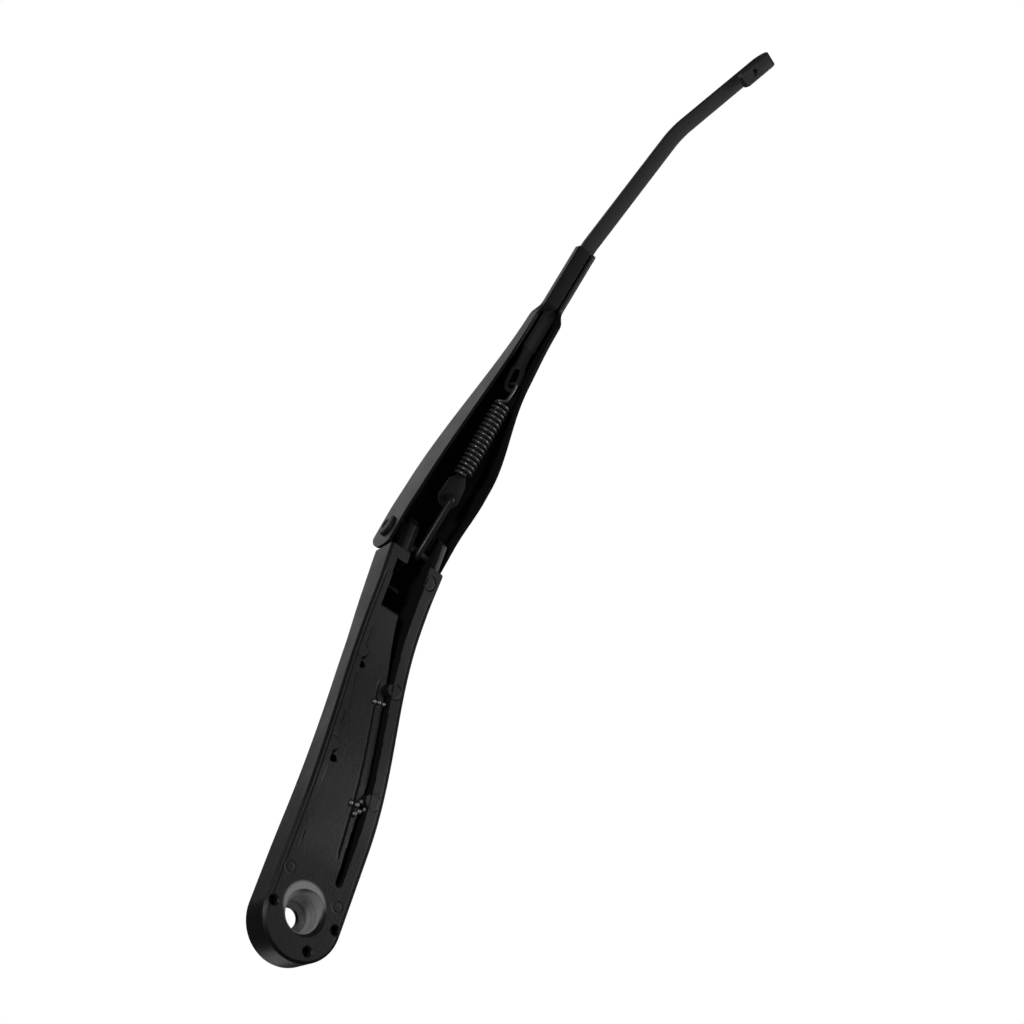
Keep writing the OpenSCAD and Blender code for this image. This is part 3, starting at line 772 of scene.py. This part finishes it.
    def shell(self) -> bpy.types.Object:
        """The casting without its lugs and bores.

        Returns:
            A closed mesh of rings along the head.
        """
        a = np.radians(np.linspace(180.0, 90.0, 46))
        hub = np.stack([self.hub_r * np.cos(a) - self.hub_shift, self.hub_r * np.sin(a), np.cos(a), np.sin(a)], -1)
        x = np.linspace(-self.hub_shift, self.wall_end, 470)[1:]
        wall = np.stack([x, self.width(x), np.zeros_like(x), np.ones_like(x)], -1)
        out = np.vstack([hub, wall])
        rim, high = self.rim_z(out[:, 0]), self.height(out[:, 0])

        def level(side: float, inset: float, lift: float, share: float) -> np.ndarray:
            """One line round the outer wall.

            Args:
                side: 1 for the right half, -1 for the left.
                inset: Distance inside the outline.
                lift: Height above the rim, added to the share.
                share: Share of the casting's height.

            Returns:
                Array (n, 3).
            """
            return np.stack([out[:, 0] - inset * out[:, 2], side * (out[:, 1] - inset * out[:, 3]),
                             rim + lift + share * high], -1)

        t = np.linspace(-1.0, 1.0, 118)
        flat = level(1.0, self.bevel, 0.0, 0.0)
        under = np.stack([np.repeat(flat[:, :1], len(t), 1), flat[:, 1:2] * t,
                          np.repeat(flat[:, 2:3], len(t), 1)], -1)
        under[..., 2] += self.depth(under[..., 0], under[..., 1])
        turn = np.radians(np.linspace(0.0, 90.0, 9))
        arc = [(self.edge_r * (1 - math.cos(v)), -self.edge_r * (1 - math.sin(v)), 1.0) for v in turn]
        rows = [level(1.0, 0.0, self.bevel, 0.0), *[level(1.0, *v) for v in arc]]
        top_r, top_l = level(1.0, *arc[-1]), level(-1.0, *arc[-1])
        rows += [top_r + (top_l - top_r) * f for f in np.linspace(0.0, 1.0, 14)[1:-1]]
        rows += [*[level(-1.0, *v) for v in arc[::-1]], level(-1.0, 0.0, self.bevel, 0.0)]
        rings = np.concatenate([under, np.stack(rows, 1)], 1)
        count, cols = rings.shape[:2]
        end = [(count - 1) * cols + i for i in range(cols)]
        return mesh_piece("head_casting", rings.reshape(-1, 3), tube_quads(count, cols) + [end])

    def tips(self) -> bpy.types.Object:
        """Light grey domed tips on the small ejector pins, joined to one mesh: painted glints.

        Returns:
            The mesh object.
        """
        profile = [(0.0, 1.2), (1.15, 1.2), (1.15, 0.3), (0.9, -0.15), (0.5, -0.42), (0.0, -0.5)]
        made = [lathe("tips", profile, np.array([x, y, float(self.rim_z(np.array(x))) + self.tip_lift]), UP, 20)
                for x, y in self.pins]
        return combine(made[0], made[1:], Op.UNION, 60.0)

    def lug_outline(self, top: float) -> np.ndarray:
        """Side view of one lug.

        Args:
            top: Height of the hood's back edge.

        Returns:
            Array (n, 2) of x and z.
        """
        arc = disc(HINGE[0], HINGE[2], self.lug_r, -45.0, self.back_angle, 40)
        rest = np.array([[self.wall_end - 1, top], [self.wall_end - 1, 39.7], [self.lug_root, 39.3],
                         [self.lug_root, 35.6], [207.0, 32.6], [211.0, 20.6], [self.pin[0] + 9, 20.6]])
        return np.vstack([arc, rest])

    def build(self) -> bpy.types.Object:
        """Joins lugs and hood to the shell and cuts every bore.

        Returns:
            The finished head.
        """
        head = self.shell()
        x, z = HINGE[0], HINGE[2]
        lo, hi = self.lug_in
        back, (boss_r, boss_y) = self.back_angle, self.boss
        top = z + self.lug_r * math.sin(math.radians(back))
        lug = self.lug_outline(top)
        hood = np.vstack([disc(x, z, self.lug_r, 64.0, back, 24), disc(x, z, self.lug_r - 2.4, back, 64.0, 24)])
        roof = np.array([[211, top - 1.5], [x - self.lug_r + 1.2, top - 1.5], [x - 10.4, top], [215, top], [215, 39.7],
                         [211, 39.7]])
        rib = np.array([[192, 23.3], [194, 23.3], [196, 38.0], [190, 38.0]])
        room = np.array([[196, 16.0], [217, 16.0], [217, top - 1.5], [210, top - 1.5], [210, 37.0], [196, 37.0]])
        combine(head, [prism("rib", rib, -15.0, -2.5, 0.5), prism("lug_l", lug, lo - self.lug_t, lo, 0.5),
                       prism("lug_r", lug, hi, hi + self.lug_t, 0.5),
                       prism("boss_l", disc(x, z, boss_r), -boss_y, lo - 3, 0.0),
                       prism("boss_r", disc(x, z, boss_r), hi + 3, boss_y, 0.0),
                       prism("hood", hood, lo - 1, hi + 1, 0.0), prism("roof", roof, lo - 1, hi + 1, 0.0)], Op.UNION)
        bore = [(0.0, -1.0), (11.4, -1.0), (11.4, 1.8), (9.2, 3.0), (7.6, 14.0), (5.2, 15.6), (5.2, 18.0),
                (13.0, 18.0), (13.0, 22.0), (0.0, 22.0)]
        blind = [(0.0, -1.0), (3.0, -1.0), (3.0, 0.0), (2.3, 0.6), (2.2, 5.0), (0.0, 6.0)]
        cuts = [lathe("bore", bore, np.zeros(3), UP, 96)]
        for v in map(math.radians, self.blind_angles):
            centre = np.array([self.blind_circle * math.cos(v), self.blind_circle * math.sin(v), 0.0])
            cuts.append(lathe("blind", blind, centre, UP, 32))
        cuts += [prism("hinge_bore", disc(x, z, 5.05, count=64), -HALF_WIDTH, HALF_WIDTH, 0.0),
                 prism("pin_bore", disc(*self.pin, 2.5, count=48), lo - 4.6, hi + 4.6, 0.0),
                 prism("lug_room", room, lo, hi, 0.0)]
        return combine(head, cuts, Op.DIFFERENCE)


@dataclass
class SheetChannel:
    """Pressed channel, open below and crimped round the bar at its far end."""

    half: float = HALF_WIDTH
    sheet: float = 1.8
    edge_h: float = -12.9
    crimp: float = 163.0
    crimp_len: float = 37.0
    crimp_y: float = 1.06
    crimp_lean: float = 1.5
    bar: tuple[float, float, float] = (4.5, 2.0, -3.5)
    play: float = 0.05
    flap_shift: float = 2.2
    round_r: float = 13.5
    pivot_r: float = 3.4
    bend_steps: int = 7

    def half_left(self, s: np.ndarray) -> np.ndarray:
        """Outer half width on the left at s: the hinge's, less smooth steps."""
        return (self.half - 0.4 * ease((s - 8.0) / 20.0) - (self.half - 8.4) * 0.93 * ease((s - 8.0) / 150.0)
                - 1.2 * ease((s - 151.0) / 12.0))

    def half_right(self, s: np.ndarray) -> np.ndarray:
        """Outer half width on the right at s: the hinge's and a swell, less smooth steps."""
        return (self.half + 2.0 * ease((s - 8.0) / 32.0) - (self.half - 6.6) * 0.86 * ease((s - 48.0) / 62.0)
                - 1.6 * ease((s - 100.0) / 40.0) - 2.0 * ease((s - 151.0) / 12.0))

    def web(self, s: np.ndarray) -> np.ndarray:
        """Height of the web's outer face at s: one smooth step down to the bar."""
        return 13.5 - 13.15 * ease((s - 35.0) / (self.crimp - 28.0))

    def lines(self, s: np.ndarray) -> np.ndarray:
        """Middle lines of the sheet's section, from the left free edge to the right one.

        Every size is its value in the open part times 1 - k plus its value in the crimp times k, where k is a
        smooth step along the arm.

        Args:
            s: Stations along the arm.

        Returns:
            Array (stations, points, 2) of side and height.
        """
        k = ease((s - self.crimp + 14.0) / 12.0)[:, None]
        t = self.sheet / 2
        gap = self.play + t
        half_w, half_t, bar_h = self.bar
        y = self.crimp_y + (s[:, None] - self.crimp) * math.tan(math.radians(self.crimp_lean))
        yl = (1 - k) * (-self.half_left(s)[:, None] + t) + k * (y - half_w - gap)
        yr = (1 - k) * (self.half_right(s)[:, None] - t) + k * (y + half_w + gap)
        top = (1 - k) * (self.web(s)[:, None] - t) + k * (bar_h + half_t + gap)
        low = (1 - k) * self.edge_h + k * (bar_h - half_t - gap)
        rt = (1 - k) * 3.0 + k * 1.25
        turn = np.radians(2.0 + 88.0 * k)
        flap_l, flap_r = ((1 - k) * 0.4 + k * (half_w + gap - 0.7 - 1.25 + v)
                          for v in (self.flap_shift, -self.flap_shift))
        f = np.linspace(0.0, 1.0, self.bend_steps)[None, :]

        def bend(cy: np.ndarray, cz: np.ndarray, a0: np.ndarray, a1: np.ndarray) -> np.ndarray:
            """Points round one bend of the section.

            Args:
                cy: Side of the bend's centre.
                cz: Its height.
                a0: First angle in radians.
                a1: Last angle in radians.

            Returns:
                Array (stations, points, 2).
            """
            a = a0 + (a1 - a0) * f
            return np.stack([cy + rt * np.cos(a), cz + rt * np.sin(a)], -1)

        pi = math.pi
        round_y, round_z = rt * (1 - np.cos(turn)), low + rt * (1 - np.sin(turn))
        return np.concatenate([
            np.stack([yl + round_y + flap_l * np.sin(turn), round_z - flap_l * np.cos(turn)], -1),
            bend(yl + rt, low + rt, pi + turn, np.full_like(turn, pi)),
            bend(yl + rt, top - rt, np.full_like(turn, pi), np.full_like(turn, pi / 2)),
            bend(yr - rt, top - rt, np.full_like(turn, pi / 2), np.zeros_like(turn)),
            bend(yr - rt, low + rt, np.zeros_like(turn), -turn),
            np.stack([yr - round_y - flap_r * np.sin(turn), round_z - flap_r * np.cos(turn)], -1)], axis=1)

    def build(self) -> bpy.types.Object:
        """Sweeps the section, thickened to both sides of its middle lines, and trims the hinge end.

        Returns:
            The channel.
        """
        s = np.unique(np.concatenate([np.arange(-14.0, 140.0, 2.0), np.arange(140.0, self.crimp + 4, 0.5),
                                      np.linspace(self.crimp + 4, self.crimp + self.crimp_len, 16)]))
        line = self.lines(s)
        step = np.gradient(line, axis=1)
        step /= np.linalg.norm(step, axis=2, keepdims=True)
        out = np.stack([-step[..., 1], step[..., 0]], -1) * self.sheet / 2
        ring = np.concatenate([(line + out)[:, ::-1], line - out], axis=1)
        place = np.repeat(s[:, None], ring.shape[1], 1)[..., None]
        channel = sweep("channel_sheet", on_arm(np.concatenate([place, ring], -1)), 28.0)
        corner = np.vstack([disc(0.0, 0.0, self.round_r, 270.0, 90.0, 40),
                            [[0.0, 25.0], [-20.0, 25.0], [-20.0, -20.0], [0.0, -20.0]]])
        web = np.array([[-20.0, 2.0], [-2.0, 2.0], [-2.0, 22.0], [-20.0, 22.0]])
        brow = np.array([[-20.0, 12.5], [-2.0, 12.5], [-2.0, 32.5], [-20.0, 32.5]])
        trims = [self.cutter("corner", corner, 30.0), self.cutter("web", web, self.half - self.sheet),
                 self.cutter("brow", brow, 30.0), self.cutter("hole", disc(0.0, 0.0, self.pivot_r), 30.0)]
        return combine(channel, trims, Op.DIFFERENCE, 28.0)

    @staticmethod
    def cutter(name: str, outline: np.ndarray, half: float) -> bpy.types.Object:
        """Prism across the arm, in the arm's frame.

        Args:
            name: Object name.
            outline: Array (n, 2) of distance and height.
            half: Half length across the arm.

        Returns:
            The mesh object.
        """
        return prism(name, on_arm(np.insert(outline, 1, 0.0, axis=1))[:, [0, 2]], -half, half, 0.0)


@dataclass
class FlatBar:
    """Flat bar with its slotted tongue and the hook for the blade."""

    width: float = 9.0
    thick: float = 4.0
    start: float = 130.0
    start_y: float = 0.196
    lean: float = 1.5
    bar_h: float = -3.5
    runs: tuple[float, float, float] = (70.5, 82.5, 66.0)
    turns: tuple[float, float] = (6.2, 11.6)
    hook_r: float = 4.75
    leg: float = 22.0
    tongue_turn: float = 8.0

    def path(self) -> tuple[np.ndarray, np.ndarray, np.ndarray]:
        """Points, yaw and dip along the bar, in the arm's frame.

        Each step is a length, a change of yaw and a change of dip, and a point is the sum of the steps so far.

        Returns:
            Arrays of points (n, 3), yaw (n) and dip (n) in radians.
        """
        first, second, third = self.runs
        steps = [(0.0, self.lean, 0.0), (first, 0.0, 0.0)] + [(0.75, self.turns[0] / 8, 0.0)] * 8
        steps += [(second, 0.0, 0.0)] + [(1.5, self.turns[1] / 12, 0.0)] * 12 + [(third, 0.0, 0.0)]
        n = 28
        steps += [(2 * self.hook_r * math.sin(math.pi / 2 / n), 0.0, 180.0 / n)] * n
        steps += [(self.leg, 0.0, 0.0)]
        data = np.array(steps)
        yaw, dip = np.radians(np.cumsum(data[:, 1])), np.radians(np.cumsum(data[:, 2]))
        my, md = (yaw + np.insert(yaw[:-1], 0, yaw[0])) / 2, (dip + np.insert(dip[:-1], 0, dip[0])) / 2
        go = np.stack([np.cos(md) * np.cos(my), np.cos(md) * np.sin(my), -np.sin(md)], -1)
        origin = np.array([self.start, self.start_y, self.bar_h])
        return origin + np.cumsum(go * data[:, :1], axis=0), yaw, dip

    def build(self) -> bpy.types.Object:
        """Sweeps a rounded rectangle along the bar's path, joins the tongue and drills the leg.

        Returns:
            The bar.
        """
        p, yaw, dip = self.path()
        side = np.stack([-np.sin(yaw), np.cos(yaw), np.zeros_like(yaw)], -1)
        go = np.stack([np.cos(dip) * np.cos(yaw), np.cos(dip) * np.sin(yaw), -np.sin(dip)], -1)
        up = np.cross(go, side)
        w, t, r = self.width / 2, self.thick / 2, 0.75
        corners = ((w - r, t - r, 0.0), (r - w, t - r, 90.0), (r - w, r - t, 180.0), (w - r, r - t, 270.0))
        c = np.vstack([disc(cx, cz, r, a, a + 90.0, 5) for cx, cz, a in corners])
        rings = p[:, None] + c[None, :, :1] * side[:, None] + c[None, :, 1:] * up[:, None]
        bar = sweep("flat_bar", on_arm(rings))
        combine(bar, [self.tongue()], Op.UNION)
        hole = on_arm((p[-1] - 10.0 * go[-1])[None])[0]
        axis = np.array([math.sin(PITCH), 0.0, math.cos(PITCH)])
        drill = lathe("drill", [(0.0, -5.0), (2.1, -5.0), (2.1, 4.6), (0.0, 4.6)], hole, axis, 40)
        return combine(bar, [drill, *self.leg_corners(p[-1], go[-1], side[-1])], Op.DIFFERENCE)

    def leg_corners(self, end: np.ndarray, go: np.ndarray, side: np.ndarray) -> list[bpy.types.Object]:
        """Cutters that round the two free corners of the hook's leg.

        Args:
            end: Middle of the leg's free end, in the arm's frame.
            go: Direction of the leg.
            side: Direction across the leg.

        Returns:
            Two cutters.
        """
        made, r = [], 2.2
        for sign in (-1.0, 1.0):
            a, half = np.radians(np.linspace(0.0, 90.0, 12)), self.width / 2
            u = np.concatenate([-r + r * np.sin(a), [1.0, 1.0, -r]])
            v = np.concatenate([half - r + r * np.cos(a), [half - r, half + 1.0, half + 1.0]])
            flat = end + u[:, None] * go + sign * v[:, None] * side
            count, rise = len(u), 4.0 * UP
            pts = on_arm(np.vstack([flat - rise, flat + rise]))
            faces = [list(range(count)), list(range(count, 2 * count))]
            faces += [[i, (i + 1) % count, (i + 1) % count + count, i + count] for i in range(count)]
            made.append(mesh_piece("corner", pts, faces))
        return made

    def tongue(self) -> bpy.types.Object:
        """The bar's inner end: a waist, then an eye with a slot for the spring, tilted and turned as one plate.

        Returns:
            The mesh object.
        """
        e = self.width / 2 + 0.4
        eye = disc(-23.0, 0.0, e, 90.0, 270.0, 24)
        outline = np.vstack([[[2.0, 3.9], [-5.0, 3.4], [-11.0, 3.6], [-15.0, e]], eye,
                             [[-15.0, -e], [-11.0, -3.6], [-5.0, -3.4], [2.0, -3.9]]])
        slot = np.vstack([disc(-23.0, 0.0, 2.5, 90.0, 270.0, 20), disc(-16.0, 0.0, 2.5, -90.0, 90.0, 20)])
        plate = prism("tongue", outline, -1.7, 1.4, 0.35)
        plate = combine(plate, [prism("slot", slot, -4.0, 4.0, 0.0)], Op.DIFFERENCE)
        u, h, v = mesh_points(plate).T
        tilt, lean = math.radians(5.0), math.radians(self.lean - self.tongue_turn)
        s1, h1 = u * math.cos(tilt) + h * math.sin(tilt), -u * math.sin(tilt) + h * math.cos(tilt)
        s2, y2 = s1 * math.cos(lean) - v * math.sin(lean), s1 * math.sin(lean) + v * math.cos(lean)
        return move_points(plate, np.stack([s2 + self.start + 1.0, y2 + self.start_y, h1 + self.bar_h], -1))


@dataclass
class SpringGear:
    """Tension spring, its anchor plate and the wire link to the cross pin."""

    pin: tuple[float, float] = (-5.0, -6.5)
    coil_start: float = 45.5
    coil_len: float = 47.0
    turns: float = 16.25
    coil_r: float = 4.4
    coil_y: float = 1.8
    coil_h: float = -8.0
    wire_r: float = 0.95
    link_r: float = 2.1

    def link(self) -> bpy.types.Object:
        """The wire link: an arc round the pin, a straight run, a bend and a rise through the plate.

        Returns:
            The mesh object.
        """
        r = 4.68
        a = np.radians(np.linspace(150.0, 264.0, 28))
        hook = np.stack([self.pin[0] + r * np.cos(a), np.ones_like(a), self.pin[1] + r * np.sin(a)], -1)
        b = np.radians(np.linspace(-90.0, 0.0, 16))
        bend = np.stack([27.6 + 3.4 * np.cos(b), np.ones_like(b), -10.8 + 3.4 * np.sin(b)], -1)
        rise = np.array([[31.0, 1.0, -8.0], [31.0, 1.0, -3.4]])
        return wire("link_wire", np.vstack([hook, bend, rise]), self.link_r, 28)

    def spring(self) -> bpy.types.Object:
        """The coils and the end hook in the bar's slot: a helix, then a smoothed line through knots.

        Returns:
            The mesh object.
        """
        t = np.linspace(0.0, 1.0, int(self.turns * 40) + 1)
        a = -2 * math.pi * self.turns * t - math.pi / 2
        coil = np.stack([self.coil_start + self.coil_len * t, self.coil_y + self.coil_r * np.cos(a),
                         self.coil_h + self.coil_r * np.sin(a)], -1)
        knots = np.array([coil[-1], [93.5, -1.8, -9.6], [94.2, 0.0, -10.7], [95.4, 1.8, -11.1], [99.0, 2.3, -11.0],
                          [103.5, 2.8, -10.4], [107.0, 2.8, -9.4], [108.4, 2.8, -7.4], [108.4, 2.8, -1.0]])
        u = np.arange(len(knots))
        fine = np.linspace(0.0, len(knots) - 1, 80)
        tail = np.stack([np.interp(fine, u, knots[:, i]) for i in range(3)], -1)
        for _ in range(3):
            tail[1:-1] = (tail[:-2] + 2 * tail[1:-1] + tail[2:]) / 4
        return wire("spring_wire", np.vstack([coil[:-1], tail]), self.wire_r, 12)

    def plate(self) -> bpy.types.Object:
        """The stamped anchor plate: a half round with a hole, and a stem that narrows into the coils.

        Returns:
            The mesh object.
        """
        e = self.coil_start
        round_end = disc(31.0, -0.8, 6.6, 90.0, 270.0, 28)
        body = np.vstack([round_end, [[31.0, -7.2], [e - 5, -6.4], [e - 1.2, -2.9], [e + 7, -2.6], [e + 7, 2.6],
                                      [e - 1.2, 2.9], [e - 5, 5.0], [31.0, 5.8]]])
        plate = prism("anchor_plate", body, -0.8, 0.8, 0.3)
        plate = combine(plate, [prism("hole", disc(31.0, -0.8, 2.25), -3.0, 3.0, 0.0)], Op.DIFFERENCE)
        u, h, v = mesh_points(plate).T
        return move_points(plate, np.stack([u, v + self.coil_y, h + self.coil_h], -1))


def rivet(name: str, inner: float, side: float) -> bpy.types.Object:
    """Stub rivet with a domed, dimpled outer head and a peened inner one.

    Args:
        name: Object name.
        inner: Distance of the lug's inner face from the middle, in mm.
        side: -1 on the left, 1 on the right.

    Returns:
        The mesh object.
    """
    w, f = inner - 0.05, HALF_WIDTH
    profile = [(0.0, w - 1.3), (4.3, w - 1.3), (5.0, w - 1.0), (5.2, w - 0.6), (5.2, w), (3.4, w), (3.4, f), (6.4, f),
               (6.4, f + 0.7), (6.15, f + 1.25), (5.4, f + 1.7), (4.2, f + 1.95), (3.0, f + 2.0), (2.6, f + 1.7),
               (1.4, f + 1.35), (0.0, f + 1.3)]
    return lathe(name, profile, HINGE, np.array([0.0, side, 0.0]), 72)


@dataclass
class WiperArm:
    """Puts every visible piece on its CAD body with its finish."""

    finishes: FinishMaker = field(default_factory=FinishMaker)

    def add(self, obj: bpy.types.Object, finish: Finish, body: str | None, node: str, slot: str) -> None:
        """Gives a new piece its finish, its body and the node that it stands for.

        Args:
            obj: The piece.
            finish: Its finish.
            body: CAD body that it rides on, or None to leave it unattached.
            node: CAD node that it replaces.
            slot: The record's material slot; not used.
        """
        obj.data.materials.clear()
        obj.data.materials.append(self.finishes.get(finish))
        if body:
            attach(obj, body)
        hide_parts(node)
        log.info("%s stands for %s", obj.name, node)

    def build(self) -> None:
        """Builds all pieces."""
        head = HeadCasting()
        self.add(head.build(), CAST_PAINT, "head", "arm_head", "black_paint")
        self.add(head.tips(), GLINT_TIP, "head", "arm_head", "black_paint")
        self.add(SheetChannel().build(), SHEET_INNER, "arm", "channel", "black_paint")
        self.add(FlatBar().build(), BAR_PAINT, "arm", "arm_bar", "black_paint")
        gear = SpringGear()
        self.add(gear.link(), LINK_COAT, "link", "wire_link", "coated_steel")
        self.add(gear.plate(), PLATE_COAT, "link", "spring_anchor_plate", "coated_steel")
        spring = gear.spring()
        self.add(spring, SPRING_COAT, None, "tension_spring", "coated_steel")
        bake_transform(spring)
        self.add(rivet("rivet_left", 5.5, -1.0), SHEET_PAINT, "arm", "hinge_rivet_left", "black_paint")
        self.add(rivet("rivet_right", 8.5, 1.0), SHEET_PAINT, "arm", "hinge_rivet_right", "black_paint")
        kept = {"link_pin": PLAIN_STEEL, "hinge_bush_left": BUSH_PLASTIC, "hinge_bush_right": BUSH_PLASTIC}
        for node, finish in kept.items():
            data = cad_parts[node].data
            data.materials.clear()
            data.materials.append(self.finishes.get(finish))
            log.info("%s kept from the frame", node)


@dataclass
class Studio:
    """White surroundings, soft lights and the photograph's viewpoint."""

    lens: float = 65.0
    glow: float = 0.03
    lights: tuple[tuple[str, tuple[float, float, float], float, float], ...] = (
        ("left", (0.55, -0.39, 0.74), 0.9, 1.6), ("end", (-0.62, 0.30, 0.72), 0.5, 0.7),
        ("front", (-0.25, -0.80, -0.55), 0.25, 2.8), ("right", (0.38, 0.70, -0.60), 0.6, 3.2))
    reach: float = 1.25
    floor_half: float = 4000.0
    floor_top: float = -1600.0
    place: tuple[float, float, float] = (-0.3063, -0.3693, -0.7622)
    look: tuple[tuple[float, float, float], ...] = (
        (0.2725, 0.7509, -0.6016), (-0.7884, 0.5326, 0.3078), (0.5515, 0.3905, 0.7371))

    def camera(self) -> None:
        """Places the camera where the photograph's camera was."""
        data = bpy.data.cameras.new("camera")
        data.lens, data.sensor_width = self.lens, 36.0
        obj = linked("camera", data)
        right, down, ahead = (Vector(v) for v in self.look)
        turn = Matrix((right, -down, -ahead)).transposed().to_4x4()
        turn.translation = Vector(self.place)
        obj.matrix_world = turn
        bpy.context.scene.camera = obj

    def light(self, name: str, at: tuple[float, float, float], size: float, power: float) -> None:
        """Adds a soft square light aimed at the middle of the arm.

        Args:
            name: Object name.
            at: Place in metres.
            size: Side in metres.
            power: Power in watts.
        """
        data = bpy.data.lights.new(name, "AREA")
        data.size, data.energy = size, power
        obj = linked(name, data)
        aim = Vector((0.24, 0.0, 0.0)) - Vector(at)
        obj.location = at
        obj.rotation_mode = "QUATERNION"
        obj.rotation_quaternion = aim.to_track_quat("-Z", "Y")

    def floor(self) -> None:
        """Lays a thin pale slab that looks the same to the camera from every side."""
        h, top = self.floor_half, self.floor_top
        corners = [[x, y, z] for z in (top, top - 4.0) for x, y in ((-h, -h), (h, -h), (h, h), (-h, h))]
        sides = [[0, 1, 2, 3], [4, 5, 6, 7], [0, 1, 5, 4], [1, 2, 6, 5], [2, 3, 7, 6], [3, 0, 4, 7]]
        slab, pale = mesh_piece("floor", np.array(corners), sides), bpy.data.materials.new("pale_floor")
        pale.use_nodes = True
        to, shader = Wiring(pale.node_tree), pale.node_tree.nodes["Principled BSDF"].inputs
        to.feed(shader["Base Color"], (0.85, 0.85, 0.85, 1.0))
        to.feed(shader["Emission Strength"], 0.8)
        to.feed(shader["Emission Color"], to.node("LightPath").outputs["Is Camera Ray"])
        slab.data.materials.append(pale)

    def build(self) -> None:
        """Builds world, floor, lights and camera."""
        scene = bpy.context.scene
        scene.view_settings.view_transform = "Standard"
        scene.world = bpy.data.worlds.new("white")
        scene.world.use_nodes = True
        to, sky = Wiring(scene.world.node_tree), scene.world.node_tree.nodes["Background"].inputs
        to.feed(sky["Color"], (1.0, 1.0, 1.0, 1.0))
        to.feed(sky["Strength"], to.math("MAXIMUM", to.node("LightPath").outputs["Is Camera Ray"], self.glow))
        self.floor()
        for name, way, size, power in self.lights:
            self.light(name, tuple(Vector((0.27, 0.0, 0.0)) + self.reach * Vector(way)), size, power)
        self.camera()


def main() -> None:
    """Builds the whole scene."""
    logging.basicConfig(level=logging.INFO)
    WiperArm().build()
    Studio().build()


if __name__ == "__main__":
    main()
